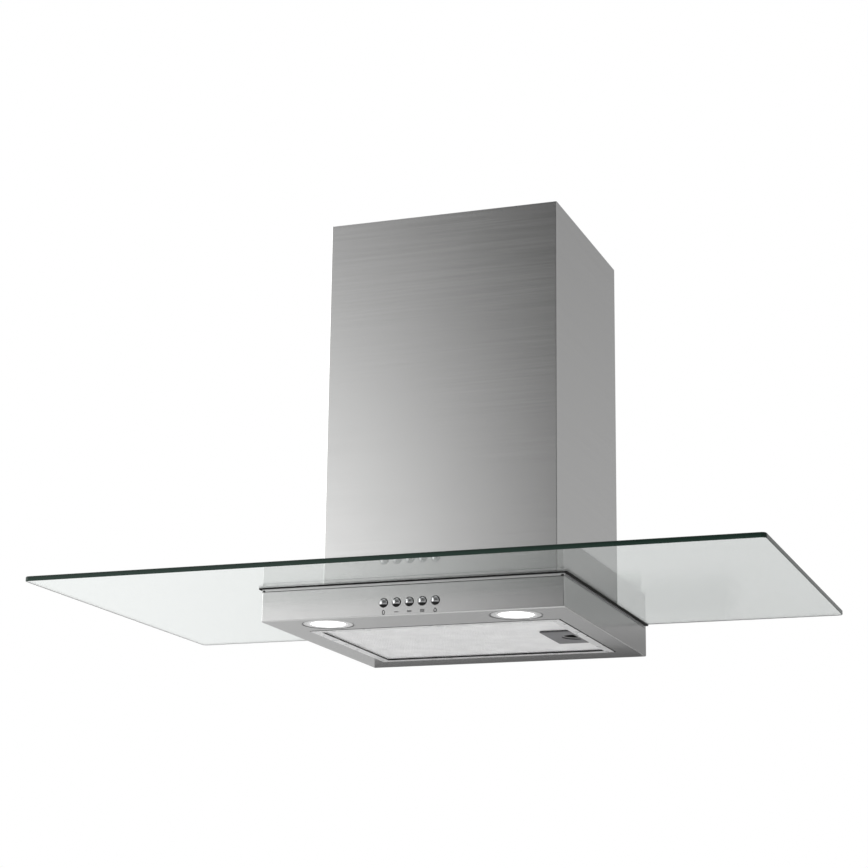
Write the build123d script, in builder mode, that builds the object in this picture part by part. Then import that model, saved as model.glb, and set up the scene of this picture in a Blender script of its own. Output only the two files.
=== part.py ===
from build123d import *
import math
import os

# Wall-mounted range hood: a folded steel body hung under a flat glass canopy, with a fan unit on
# the glass inside a telescopic chimney. Millimetres. +X right, -Y out from the wall, +Z up.
# The wall plane is y = 0, the hood's middle is x = 0 and the underside of the body is z = 0.

os.makedirs("parts", exist_ok=True)

# ------------------------------------------------------------------ driving sizes
# glass canopy
glass_width = 900.0
glass_depth = 500.0
glass_thickness = 6.0
glass_corner_radius = 6.0
glass_arris = 0.8

# folded steel body under the glass
body_width = 382.0
body_depth = 379.0
body_height = 36.5
body_sheet = 1.0
body_bend = 1.6
body_lip = 14.0

# support plate between body and glass, and its seals
plate_gap = 0.35
plate_rim = 3.25
plate_sheet = 1.2
plate_notch = 3.2
seal_thickness = 1.9
seal_width = 12.0
seal_overhang_side = 3.5
seal_overhang_front = 1.0
upper_seal_thickness = 1.5
airway_seal_side_margin = 5.7
airway_seal_front_margin = 15.7
airway_seal_back_margin = 10.7

# air passage through the glass
airway_width = 224.0
airway_depth = 200.0
airway_back = 35.0
airway_corner = 14.0
airway_collar_gap = 2.5

# chimney covers
chimney_width = 306.0
chimney_depth = 279.0
chimney_height = 490.0
chimney_sheet = 1.0
chimney_bend = 1.5
chimney_return = 12.0
chimney_nesting_gap = 0.6
upper_chimney_height = 464.0
vent_slot_length = 110.0
vent_slot_height = 5.0
vent_slot_pitch = 13.0
vent_slot_count = 6
vent_slot_top = 44.0

# upper chimney's wall bracket
bracket_sheet = 1.5
bracket_height = 30.0
bracket_drop = 10.0
bracket_arm = 38.0
bracket_back_clearance = 3.4
bracket_side_gap = 0.3
bracket_hole_spacing = 200.0
bracket_hole_radius = 3.0

# fan frame: base on the glass, back plate on the wall
frame_sheet = 1.5
frame_edge_gap = 0.3
frame_flange = 22.5
frame_back_clearance = 3.0
frame_back_top = 430.0
frame_corner_notch = 8.0
hanging_hole_radius = 4.0
hanging_hole_spacing = 210.0
hanging_hole_height = 398.0

# fan casing
casing_bolt_gap = 1.4
casing_front_gap = 17.0
casing_sheet = 1.0
casing_height = 296.0
casing_flange = 9.0
casing_bend = 2.0

# fan scroll, moulded in two halves
scroll_half_width = 66.0
scroll_wall = 2.0
scroll_step = 10.0
scroll_start_radius = 92.0
scroll_throat_width = 90.0
scroll_floor_gap = 12.0
throat_height = 110.0
split_flange = 5.0
split_flange_thickness = 2.0
inlet_radius = 62.0
inlet_lip = 4.0
scroll_leg_offset = 30.0
scroll_leg_width = 16.0
scroll_leg_depth = 6.0

# squirrel-cage impeller
impeller_radius = 80.0
impeller_eye_radius = 67.0
impeller_half_width = 56.0
impeller_ring = 3.0
impeller_ring_band = 6.0
blade_count = 32
blade_thickness = 1.2
blade_sweep = 11.0
blade_bow = 2.2
web_position = -22.0
web_thickness = 2.5
hub_radius = 13.0
hub_length = 20.0

# motor
motor_radius = 44.0
motor_length = 70.0
motor_end_radius = 30.0
motor_end_length = 9.0
motor_chamfer = 4.0
shaft_radius = 4.0
shaft_overhang = 32.0
bearing_clearance = 0.05
grommet_radius = 7.0
grommet_neck_radius = 3.8
grommet_circle_radius = 72.0
grommet_count = 3
grommet_start = 90.0
mount_standoff = 2.5
arm_width = 18.0
mount_plate = 1.5
mount_disc_radius = 40.0
mount_vent_radius = 6.0

# outlet duct, collar and damper
collar_depth = 140.0
collar_radius = 75.0
collar_wall = 2.0
collar_height = 46.0
collar_flange_radius = 88.0
collar_flange = 3.0
duct_spigot_radius = 71.0
duct_wall = 1.5
duct_flange = 6.0
duct_flange_thickness = 2.5
duct_gap = 0.4
ledge_height = 6.0
ledge_thickness = 2.0
ledge_reach = 3.5
collar_screw_count = 4
flap_gap = 0.5
flap_thickness = 1.2
flap_inset = 3.6
flap_rest_gap = 0.3
knuckle_radius = 3.0
knuckle_length = 18.0
knuckle_gap = 1.0
spindle_radius = 1.5
spindle_clearance = 0.05
spindle_end_gap = 0.3

# connection box on the fan casing
box_length = 120.0
box_depth = 42.0
box_height = 36.0
box_wall = 2.0
box_back_gap = 1.0
box_lid = 2.0
gland_radius = 9.0
gland_length = 14.0
gland_bore = 4.0
gland_neck_radius = 6.2
gland_neck_gap = 0.3
gland_offset = 30.0
gland_taper = 20.0
capacitor_radius = 14.0
capacitor_length = 52.0

# lamps
lamp_spacing = 239.0
lamp_front = 36.0
panel_offset = 1.5
lamp_hole_radius = 32.3
lamp_ring_radius = 31.7
lamp_ring_recess = 0.3
lamp_lens_radius = 20.8
lamp_lens_shoulder = 1.8
lamp_lens_height = 2.0
lamp_lens_recess = 0.5
lamp_can_radius = 28.0
lamp_can_wall = 1.0
lamp_can_height = 28.0
lamp_can_flange = 33.2
lamp_spigot_height = 5.0
lamp_fit = 0.3
bulb_radius = 5.0
bulb_base_radius = 7.0
bulb_base_height = 8.0
bulb_length = 11.0
reflector_top_radius = 9.0
reflector_wall = 0.7

# push buttons
button_count = 5
button_pitch = 16.3
button_height = 16.1
button_radius = 5.5
button_hole_gap = 0.3
button_collar = 0.8
button_dome = 3.2
button_inside = 7.0
button_travel = 2.5
stem_radius = 3.0
stem_length = 14.0
stem_clearance = 0.08
switch_gap = 4.0
switch_side_margin = 9.0
switch_depth = 24.0
switch_top_margin = 12.0
bracket_plate = 1.2
terminal_tab_width = 4.0
terminal_tab_length = 7.0

# lamp transformer
transformer_gap = 4.0
transformer_length = 96.0
transformer_height = 18.0
transformer_depth = 215.0

# grease filter
filter_width = 320.0
filter_depth = 255.0
filter_height = 10.5
lamp_strip = 74.4
filter_gap = 0.5
filter_gap_wide = 1.7
filter_proud = 0.3
filter_strip = 11.0
filter_sheet = 0.8
filter_return = 1.5
filter_corner = 2.0
mesh_sheet = 0.8
mesh_gap = 0.3
core_layer = 0.35
core_layer_count = 5
opening_hem = 8.0
hinge_tab_width = 18.0
hinge_tab_spacing = 150.0
hinge_tab_reach = 5.0
hinge_tab_lift = 0.3
hinge_tab_thickness = 1.2
hinge_slot_gap = 2.0

# filter latch
latch_width = 39.0
latch_length = 88.0
latch_shift = 3.0
latch_proud = 1.3
latch_skin = 1.2
latch_fit = 0.3
pull_radius = 19.5
pull_edge = 3.0
pull_wall = 1.4
pull_travel = 6.0
slide_length = 38.0
slide_thickness = 1.0
slide_gap = 0.3
tongue_width = 12.0
tongue_short = 0.4

# fasteners
bolt_radius = 2.5
bolt_head_radius = 4.6
bolt_head_height = 3.0
bolt_hole_gap = 0.25
bolt_tail = 1.5
nut_radius = 4.6
nut_height = 4.0
nut_thread_gap = 0.05
sleeve_radius = 4.8
sleeve_gap = 0.2
clamp_edge = 14.7
clamp_pitch = 75.0
screw_radius = 1.75
screw_head_radius = 3.4
screw_head_height = 2.0
screw_hole_gap = 0.1
screw_chamfer = 0.6
unit_screw_length = 8.0
safety_hole_radius = 3.0
safety_hole_spacing = 300.0
safety_hole_height = 18.0

# ------------------------------------------------------------------ levels and places
plate_bottom = body_height + plate_gap
plate_top = plate_bottom + plate_rim
glass_bottom = plate_top + seal_thickness
glass_top = glass_bottom + glass_thickness
frame_bottom = glass_top + upper_seal_thickness
frame_top = frame_bottom + frame_sheet
casing_top = frame_top + casing_height
collar_base = casing_top

airway_y = -(airway_back + airway_depth / 2)
collar_width = airway_width + 2 * plate_sheet
glass_hole_width = collar_width + 2 * airway_collar_gap
glass_hole_depth = airway_depth + 2 * (plate_sheet + airway_collar_gap)

frame_half_width = chimney_width / 2 - chimney_sheet - frame_edge_gap
frame_front = -(chimney_depth - chimney_sheet - frame_edge_gap)
frame_back = -(chimney_sheet + frame_edge_gap)
frame_back_width = chimney_width - 2 * (chimney_return + frame_back_clearance)

clamp_x = frame_half_width - clamp_edge
clamp_points = []
for clamp_row in (-clamp_pitch, 0, clamp_pitch):
    for clamp_side in (-1, 1):
        clamp_points.append((clamp_side * clamp_x, airway_y + clamp_row))

casing_half_width = clamp_x - bolt_head_radius - casing_bolt_gap - casing_flange
casing_front = chimney_depth - casing_front_gap
casing_back = -frame_sheet
casing_mid_y = (casing_back - casing_front) / 2
# the casing's screws stand between the rows of clamp bolts, and behind the last row
casing_screw_points = []
for casing_screw_side in (-1, 1):
    for casing_screw_row in range(3):
        casing_screw_points.append(
            (
                casing_screw_side * (casing_half_width + casing_flange / 2),
                airway_y + (casing_screw_row - 0.5) * clamp_pitch,
            )
        )

# the filter sits against the left and back of its opening, with the wide gap in front and right
opening_width = filter_width + filter_gap + filter_gap_wide
opening_depth = filter_depth + filter_gap + filter_gap_wide
opening_shift = (filter_gap_wide - filter_gap) / 2
opening_x = panel_offset + opening_shift
opening_y = -(body_depth - lamp_strip - opening_depth / 2)
filter_y = opening_y + opening_shift
hinge_x = panel_offset - filter_width / 2
opening_left = opening_x - opening_width / 2
opening_right = opening_x + opening_width / 2
lamp_y = -(body_depth - lamp_front)
lamp_xs = [panel_offset + lamp_side * lamp_spacing / 2 for lamp_side in (-1, 1)]
front_face = -body_depth
button_xs = [(i - (button_count - 1) / 2) * button_pitch for i in range(button_count)]

# the scroll stands midway between the back plate and the casing's front
scroll_radii = [scroll_start_radius + scroll_step * turn for turn in range(3)]
scroll_front_reach = scroll_radii[2] + scroll_step / 2
scroll_back_reach = scroll_radii[1] - scroll_step / 2
fan_y = (casing_back - casing_front + casing_sheet + scroll_front_reach - scroll_back_reach) / 2
scroll_bottom_reach = scroll_radii[1] + scroll_step / 2 + scroll_wall
fan_z = frame_top + scroll_floor_gap + scroll_bottom_reach
throat_z = fan_z + throat_height
throat_front = fan_y - scroll_front_reach
throat_back = throat_front + scroll_throat_width
throat_y = (throat_front + throat_back) / 2
fan_plane = Plane(origin=(0, fan_y, fan_z), x_dir=(0, 1, 0), z_dir=(1, 0, 0))
shaft_plane = Plane(origin=(0, fan_y, fan_z), x_dir=(1, 0, 0), z_dir=(0, -1, 0))
shaft_axis = Axis((0, fan_y, fan_z), (1, 0, 0))
mount_x = scroll_half_width + mount_standoff
motor_start = mount_x - motor_length

collar_y = -collar_depth
ledge_z = collar_base + ledge_height
flap_z = ledge_z + ledge_thickness + flap_rest_gap
spindle_z = flap_z + flap_thickness / 2
flap_radius = collar_radius - collar_wall - flap_gap

collar_screw_circle = (collar_radius + collar_flange_radius) / 2
collar_screw_points = []
for collar_screw in range(collar_screw_count):
    collar_screw_angle = math.radians((collar_screw + 0.5) * 360 / collar_screw_count)
    collar_screw_points.append(
        (
            collar_screw_circle * math.cos(collar_screw_angle),
            collar_y + collar_screw_circle * math.sin(collar_screw_angle),
        )
    )

upper_chimney_bottom = frame_top + frame_flange - frame_sheet + plate_gap
upper_chimney_width = chimney_width - 2 * (chimney_sheet + chimney_nesting_gap)
upper_chimney_front = -(chimney_depth - chimney_sheet - chimney_nesting_gap)
upper_chimney_back = -(chimney_sheet + chimney_nesting_gap)


# ------------------------------------------------------------------ shared helpers
def straight_outline(width, depth, front_radius):
    """Plan of a folded sheet form against the wall: only its two front corners are rounded."""
    with BuildSketch() as outline:
        with Locations((0, -depth / 2)):
            Rectangle(width, depth)
        fillet(outline.vertices().group_by(Axis.Y)[0], radius=front_radius)
    return outline.sketch


def chimney_section(width, front, back, sheet, bend, flange):
    """Plan of a chimney cover: front and sides in one sheet, with return flanges at the wall."""
    with BuildSketch() as section:
        with Locations((0, (front + back) / 2)):
            Rectangle(width, back - front)
        fillet(section.vertices().group_by(Axis.Y)[0], radius=bend)
        with BuildSketch(mode=Mode.SUBTRACT) as inside:
            with Locations((0, (front + back) / 2)):
                Rectangle(width - 2 * sheet, back - front - 2 * sheet)
            fillet(inside.vertices().group_by(Axis.Y)[0], radius=bend - sheet)
        with Locations((0, back)):
            Rectangle(width - 2 * flange, 3 * sheet, mode=Mode.SUBTRACT)
    return section.sketch


def ring_plate(part_plane, outer, inner, holes, hole_radius, thickness):
    """Flat frame between two centred rectangles, each (width, front y, back y), with bolt holes."""
    with BuildPart() as ring:
        with BuildSketch(part_plane):
            with Locations((0, (outer[1] + outer[2]) / 2)):
                Rectangle(outer[0], outer[2] - outer[1])
            with Locations((0, (inner[1] + inner[2]) / 2)):
                Rectangle(inner[0], inner[2] - inner[1], mode=Mode.SUBTRACT)
            if holes:
                with Locations(*holes):
                    Circle(hole_radius, mode=Mode.SUBTRACT)
        extrude(amount=thickness)
    return ring.part


def pan_screws(places, shank_length):
    """Pan-head screws, one at each plane: the head sits on the plane, the shank runs below it."""
    with BuildPart() as screws:
        with Locations(*places):
            Cylinder(screw_head_radius, screw_head_height, align=(Align.CENTER, Align.CENTER, Align.MIN))
            Cylinder(screw_radius, shank_length, align=(Align.CENTER, Align.CENTER, Align.MAX))
        chamfer(screws.faces().filter_by(GeomType.PLANE).group_by(SortBy.AREA)[-1].edges(), length=screw_chamfer)
    return screws.part


# ------------------------------------------------------------------ glass canopy
with BuildPart() as glass_panel:
    with BuildSketch(Plane.XY.offset(glass_bottom)):
        with Locations((0, -glass_depth / 2)):
            RectangleRounded(glass_width, glass_depth, glass_corner_radius)
    extrude(amount=glass_thickness)
    chamfer(
        glass_panel.edges().group_by(Axis.Z)[0] + glass_panel.edges().group_by(Axis.Z)[-1],
        length=glass_arris,
    )
    with BuildSketch(Plane.XY.offset(glass_bottom)):
        with Locations((0, airway_y)):
            RectangleRounded(glass_hole_width, glass_hole_depth, airway_corner)
        with Locations(*clamp_points):
            Circle(sleeve_radius + sleeve_gap)
    extrude(amount=glass_thickness, mode=Mode.SUBTRACT)
glass_panel.part.label = "glass_panel"
export_step(glass_panel.part, "parts/glass_panel.step")

# ------------------------------------------------------------------ steel body
# One folded sheet: bottom, front and sides, an upright back and a lip all round the top.
with BuildPart() as canopy_shell:
    with BuildSketch():
        with Locations((0, -body_depth / 2)):
            Rectangle(body_width, body_depth)
    extrude(amount=body_height)
    front_uprights = canopy_shell.edges().filter_by(Axis.Z).group_by(Axis.Y)[0]
    bottom_folds = canopy_shell.edges().group_by(Axis.Z)[0].sort_by(Axis.Y)[:-1]
    fillet(front_uprights + bottom_folds, radius=body_bend)
    offset(amount=-body_sheet, openings=canopy_shell.faces().sort_by(Axis.Z)[-1])
    with BuildSketch(Plane.XY.offset(body_height - body_sheet)):
        add(straight_outline(body_width, body_depth, body_bend))
        with Locations((0, -body_depth / 2)):
            Rectangle(body_width - 2 * body_lip, body_depth - 2 * body_lip, mode=Mode.SUBTRACT)
    extrude(amount=body_sheet)
    # hem standing up round the filter opening
    with BuildSketch(Plane.XY.offset(body_sheet / 2)):
        with Locations((opening_x, opening_y)):
            Rectangle(opening_width + 2 * body_sheet, opening_depth + 2 * body_sheet)
    extrude(amount=opening_hem + body_sheet / 2)
    with BuildSketch():
        with Locations((opening_x, opening_y)):
            Rectangle(opening_width, opening_depth)
        with Locations(*[(x, lamp_y) for x in lamp_xs]):
            Circle(lamp_hole_radius)
    extrude(amount=opening_hem + 2 * body_sheet, mode=Mode.SUBTRACT)
    # notches in the hem for the filter's hinge tabs
    with BuildSketch(Plane.XY.offset(body_sheet)):
        for tab_side in (-1, 1):
            with Locations((opening_left - body_sheet, filter_y + tab_side * hinge_tab_spacing / 2)):
                Rectangle(4 * body_sheet, hinge_tab_width + 2 * hinge_slot_gap)
    extrude(amount=opening_hem + body_sheet, mode=Mode.SUBTRACT)
    # button holes through the front, fixing holes through the back
    with BuildSketch(Plane.XZ.offset(-front_face)):
        with Locations(*[(x, button_height) for x in button_xs]):
            Circle(button_radius + button_hole_gap)
    extrude(amount=-2 * body_sheet, mode=Mode.SUBTRACT)
    with BuildSketch(Plane.XZ):
        for hole_side in (-1, 1):
            with Locations((hole_side * safety_hole_spacing / 2, safety_hole_height)):
                Circle(safety_hole_radius)
    extrude(amount=2 * body_sheet, mode=Mode.SUBTRACT)
canopy_shell.part.label = "canopy_shell"
export_step(canopy_shell.part, "parts/canopy_shell.step")

# ------------------------------------------------------------------ support plate and seals
# A shallow lid over the body: its rim shows as the steel line under the glass, and a collar
# lines the glass cut-out.
with BuildPart() as support_plate:
    with BuildSketch(Plane.XY.offset(plate_bottom)):
        add(straight_outline(body_width, body_depth, body_bend))
    extrude(amount=plate_rim)
    with BuildSketch(Plane.XY.offset(plate_bottom)):
        with Locations((0, -body_depth / 2)):
            Rectangle(body_width - 2 * plate_sheet, body_depth - 2 * plate_sheet)
    extrude(amount=plate_rim - plate_sheet, mode=Mode.SUBTRACT)
    with BuildSketch(Plane.XY.offset(plate_top)):
        with Locations((0, airway_y)):
            RectangleRounded(
                collar_width, airway_depth + 2 * plate_sheet, airway_corner - airway_collar_gap
            )
    extrude(amount=seal_thickness + glass_thickness)
    with BuildSketch(Plane.XY.offset(plate_bottom)):
        with Locations((0, airway_y)):
            RectangleRounded(
                airway_width, airway_depth, airway_corner - airway_collar_gap - plate_sheet
            )
        with Locations(*clamp_points):
            Circle(bolt_radius + bolt_hole_gap)
    extrude(amount=plate_rim + seal_thickness + glass_thickness, mode=Mode.SUBTRACT)
    # relief notches where the front rim stops short of the side rims
    with BuildSketch(Plane.XY.offset(plate_bottom)):
        for corner_side in (-1, 1):
            notch_x = corner_side * (body_width / 2 - plate_sheet - plate_notch / 2)
            with Locations((notch_x, front_face + plate_sheet / 2)):
                Rectangle(plate_notch, plate_sheet)
    extrude(amount=plate_rim - plate_sheet, mode=Mode.SUBTRACT)
support_plate.part.label = "support_plate"
export_step(support_plate.part, "parts/support_plate.step")

canopy_seal = ring_plate(
    Plane.XY.offset(plate_top),
    (body_width + 2 * seal_overhang_side, front_face - seal_overhang_front, 0),
    (body_width - 2 * seal_width, front_face + seal_width, -seal_width),
    [],
    0,
    seal_thickness,
)
canopy_seal.label = "canopy_seal"
export_step(canopy_seal, "parts/canopy_seal.step")

airway_seal_outline = (
    2 * (frame_half_width - airway_seal_side_margin),
    frame_front + airway_seal_front_margin,
    frame_back - airway_seal_back_margin,
)
airway_opening = (
    glass_hole_width,
    airway_y - glass_hole_depth / 2,
    airway_y + glass_hole_depth / 2,
)
for seal_name, seal_level, seal_height in (
    ("airway_seal_lower", plate_top, seal_thickness),
    ("airway_seal_upper", glass_top, upper_seal_thickness),
):
    airway_seal = ring_plate(
        Plane.XY.offset(seal_level),
        airway_seal_outline,
        airway_opening,
        clamp_points,
        sleeve_radius + sleeve_gap,
        seal_height,
    )
    airway_seal.label = seal_name
    export_step(airway_seal, f"parts/{seal_name}.step")

# ------------------------------------------------------------------ fan frame
# Folded base that clamps the glass, with edges turned up inside the chimney, and the back plate
# that hangs on the wall.
with BuildPart() as fan_frame:
    with BuildSketch(Plane.XY.offset(frame_bottom)):
        with Locations((0, (frame_front + frame_back) / 2)):
            Rectangle(2 * frame_half_width, frame_back - frame_front)
        with Locations((0, frame_back / 2 - frame_sheet)):
            Rectangle(frame_back_width, -frame_back + 2 * frame_sheet)
    extrude(amount=frame_sheet)
    with BuildSketch(Plane.XY.offset(frame_bottom)):
        for flange_side in (-1, 1):
            with Locations(
                (
                    flange_side * (frame_half_width - frame_sheet / 2),
                    (frame_front + frame_corner_notch + frame_back) / 2,
                )
            ):
                Rectangle(frame_sheet, frame_back - frame_front - frame_corner_notch)
        with Locations((0, frame_front + frame_sheet / 2)):
            Rectangle(2 * (frame_half_width - frame_corner_notch), frame_sheet)
    extrude(amount=frame_flange)
    with BuildSketch(Plane.XY.offset(frame_bottom)):
        with Locations((0, -frame_sheet / 2)):
            Rectangle(frame_back_width, frame_sheet)
    extrude(amount=frame_back_top - frame_bottom)
    fillet(
        fan_frame.edges().filter_by(Axis.Y).group_by(Axis.Z)[-1],
        radius=2 * frame_corner_notch,
    )
    with BuildSketch(Plane.XY.offset(frame_bottom)):
        with Locations((0, airway_y)):
            Rectangle(airway_width, airway_depth)
        with Locations(*clamp_points):
            Circle(bolt_radius + bolt_hole_gap)
        with Locations(*casing_screw_points):
            Circle(screw_radius + screw_hole_gap)
    extrude(amount=frame_sheet, mode=Mode.SUBTRACT)
    with BuildSketch(Plane.XZ):
        for hole_side in (-1, 1):
            with Locations((hole_side * hanging_hole_spacing / 2, hanging_hole_height)):
                Circle(hanging_hole_radius)
    extrude(amount=2 * frame_sheet, mode=Mode.SUBTRACT)
fan_frame.part.label = "fan_frame"
export_step(fan_frame.part, "parts/fan_frame.step")

# ------------------------------------------------------------------ fan casing
# Folded cover over the scroll: front, sides and top, flanged to the frame's base and back plate.
casing_flange_x = casing_half_width + (casing_flange - casing_sheet) / 2
with BuildPart() as fan_casing:
    with BuildSketch(Plane.XY.offset(frame_top)):
        with Locations((0, casing_mid_y)):
            Rectangle(2 * casing_half_width, casing_front + casing_back)
    extrude(amount=casing_height)
    fillet(
        fan_casing.edges().filter_by(Axis.Z).group_by(Axis.Y)[0]
        + fan_casing.edges().group_by(Axis.Z)[-1].sort_by(Axis.Y)[:-1],
        radius=casing_bend,
    )
    offset(
        amount=-casing_sheet,
        openings=[
            fan_casing.faces().sort_by(Axis.Z)[0],
            fan_casing.faces().sort_by(Axis.Y)[-1],
        ],
    )
    for flange_side in (-1, 1):
        with BuildSketch(Plane.XY.offset(frame_top)):
            with Locations((flange_side * casing_flange_x, casing_mid_y)):
                Rectangle(casing_flange + casing_sheet, casing_front + casing_back - 2 * casing_bend)
        extrude(amount=casing_sheet)
        with BuildSketch(Plane.XY.offset(frame_top)):
            with Locations((flange_side * casing_flange_x, casing_back - casing_sheet / 2)):
                Rectangle(casing_flange + casing_sheet, casing_sheet)
        extrude(amount=casing_height - casing_bend)
    with BuildSketch(Plane.XY.offset(frame_top)):
        with Locations(*casing_screw_points):
            Circle(screw_radius + screw_hole_gap)
    extrude(amount=2 * casing_sheet, mode=Mode.SUBTRACT)
    with BuildSketch(Plane.XY.offset(casing_top)):
        with Locations((0, collar_y)):
            Circle(duct_spigot_radius + duct_gap)
        with Locations(*collar_screw_points):
            Circle(screw_radius + screw_hole_gap)
    extrude(amount=-2 * casing_sheet, mode=Mode.SUBTRACT)
fan_casing.part.label = "fan_casing"
export_step(fan_casing.part, "parts/fan_casing.step")

# ------------------------------------------------------------------ chimney covers
with BuildPart() as lower_chimney:
    with BuildSketch(Plane.XY.offset(glass_top)):
        add(
            chimney_section(
                chimney_width, -chimney_depth, 0, chimney_sheet, chimney_bend, chimney_return
            )
        )
    extrude(amount=chimney_height)
lower_chimney.part.label = "lower_chimney"
export_step(lower_chimney.part, "parts/lower_chimney.step")

upper_chimney_top = upper_chimney_bottom + upper_chimney_height
with BuildPart() as upper_chimney:
    with BuildSketch(Plane.XY.offset(upper_chimney_bottom)):
        add(
            chimney_section(
                upper_chimney_width,
                upper_chimney_front,
                upper_chimney_back,
                chimney_sheet,
                chimney_bend,
                chimney_return,
            )
        )
    extrude(amount=upper_chimney_height)
    # exhaust slots through both sides, near the top
    with BuildSketch(Plane.YZ):
        for row in range(vent_slot_count):
            with Locations((collar_y, upper_chimney_top - vent_slot_top - row * vent_slot_pitch)):
                SlotOverall(vent_slot_length, vent_slot_height)
    extrude(amount=upper_chimney_width, both=True, mode=Mode.SUBTRACT)
upper_chimney.part.label = "upper_chimney"
export_step(upper_chimney.part, "parts/upper_chimney.step")

# Wall bracket of the upper cover: a flat bar on the wall, joggled round the cover's return
# flanges to two arms that lie along its sides.
bracket_half_plate = upper_chimney_width / 2 - chimney_return - bracket_back_clearance
arm_outer = upper_chimney_width / 2 - chimney_sheet - bracket_side_gap
arm_back = upper_chimney_back - chimney_sheet - bracket_side_gap
with BuildPart() as chimney_bracket:
    with BuildSketch(Plane.XY.offset(upper_chimney_top - bracket_drop - bracket_height)):
        with Locations((0, -bracket_sheet / 2)):
            Rectangle(2 * bracket_half_plate, bracket_sheet)
        for arm_side in (-1, 1):
            joggle_x = arm_side * (bracket_half_plate - bracket_sheet / 2)
            with Locations((joggle_x, (arm_back - bracket_sheet) / 2)):
                Rectangle(bracket_sheet, -arm_back + bracket_sheet)
            arm_run = arm_outer - bracket_half_plate + bracket_sheet
            with Locations((arm_side * (arm_outer - arm_run / 2), arm_back - bracket_sheet / 2)):
                Rectangle(arm_run, bracket_sheet)
            with Locations((arm_side * (arm_outer - bracket_sheet / 2), arm_back - bracket_arm / 2)):
                Rectangle(bracket_sheet, bracket_arm)
    extrude(amount=bracket_height)
    with BuildSketch(Plane.XZ):
        for hole_side in (-1, 1):
            bracket_mid = upper_chimney_top - bracket_drop - bracket_height / 2
            with Locations((hole_side * bracket_hole_spacing / 2, bracket_mid)):
                Circle(bracket_hole_radius)
    extrude(amount=2 * bracket_sheet, mode=Mode.SUBTRACT)
chimney_bracket.part.label = "chimney_bracket"
export_step(chimney_bracket.part, "parts/chimney_bracket.step")

# ------------------------------------------------------------------ fan scroll
# The cavity widens round the impeller in quadrants of growing radius, then runs straight up the
# throat. The quadrants' centres step round a small square, so each arc is tangent to the next.
throat_back_reach = scroll_front_reach - scroll_throat_width
tongue_angle = math.degrees(math.asin((scroll_step / 2 + throat_back_reach) / scroll_radii[0]))
throat_end = throat_height + 2 * scroll_wall
scroll_back = fan_y + scroll_back_reach + scroll_wall

with BuildSketch() as scroll_cavity:
    with BuildLine():
        front_run = Line((-scroll_front_reach, throat_end), (-scroll_front_reach, scroll_step / 2))
        bottom_arc = JernArc(front_run @ 1, front_run % 1, scroll_radii[2], 90)
        back_arc = JernArc(bottom_arc @ 1, bottom_arc % 1, scroll_radii[1], 90)
        top_arc = JernArc(back_arc @ 1, back_arc % 1, scroll_radii[0], 90 + tongue_angle)
        Polyline(top_arc @ 1, ((top_arc @ 1).X, throat_end), front_run @ 0)
    make_face()
scroll_outline = offset(scroll_cavity.sketch, amount=scroll_wall)
split_outline = offset(scroll_cavity.sketch, amount=scroll_wall + split_flange)


def scroll_half(side):
    """One moulded half of the scroll, on the -X or +X side of the split."""
    with BuildPart() as half:
        with BuildSketch(fan_plane):
            add(scroll_outline)
        extrude(amount=side * scroll_half_width)
        with BuildSketch(fan_plane):
            add(split_outline)
        extrude(amount=side * split_flange_thickness)
        # a leg at the front and one at the back stand on the frame's base
        with BuildSketch(Plane.XY.offset(frame_top)):
            for leg_edge, leg_inward in ((throat_front - scroll_wall, 1), (scroll_back, -1)):
                with Locations(
                    (
                        side * (scroll_leg_offset + scroll_leg_width / 2),
                        leg_edge + leg_inward * scroll_leg_depth / 2,
                    )
                ):
                    Rectangle(scroll_leg_width, scroll_leg_depth)
        extrude(amount=fan_z - scroll_step / 2 - frame_top)
        with BuildSketch(fan_plane):
            add(scroll_cavity.sketch)
        extrude(amount=side * (scroll_half_width - scroll_wall), mode=Mode.SUBTRACT)
        # bell mouth round the air inlet
        with BuildSketch(fan_plane.offset(side * (scroll_half_width - scroll_wall - inlet_lip))):
            Circle(inlet_radius + scroll_wall)
        extrude(amount=side * (inlet_lip + scroll_wall))
        with BuildSketch(fan_plane.offset(side * (scroll_half_width - scroll_wall - inlet_lip))):
            Circle(inlet_radius)
        extrude(amount=side * (inlet_lip + scroll_wall), mode=Mode.SUBTRACT)
        split(bisect_by=Plane.XY.offset(throat_z), keep=Keep.BOTTOM)
        # flange at the top of the throat, for the outlet duct
        with BuildSketch(Plane.XY.offset(throat_z - duct_flange_thickness)):
            with Locations((side * (scroll_half_width + duct_flange) / 2, throat_y)):
                Rectangle(
                    scroll_half_width + duct_flange,
                    scroll_throat_width + 2 * (scroll_wall + duct_flange),
                )
            with Locations((side * (scroll_half_width - scroll_wall) / 2, throat_y)):
                Rectangle(scroll_half_width - scroll_wall, scroll_throat_width, mode=Mode.SUBTRACT)
        extrude(amount=duct_flange_thickness)
    return half.part


scroll_left = scroll_half(-1)
scroll_left.label = "scroll_left"
export_step(scroll_left, "parts/scroll_left.step")

with BuildPart() as scroll_right:
    add(scroll_half(1))
    with BuildSketch(fan_plane.offset(scroll_half_width - 2 * scroll_wall)):
        with PolarLocations(grommet_circle_radius, grommet_count, start_angle=grommet_start):
            Circle(screw_radius + screw_hole_gap)
    extrude(amount=3 * scroll_wall, mode=Mode.SUBTRACT)
scroll_right.part.label = "scroll_right"
export_step(scroll_right.part, "parts/scroll_right.step")

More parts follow.
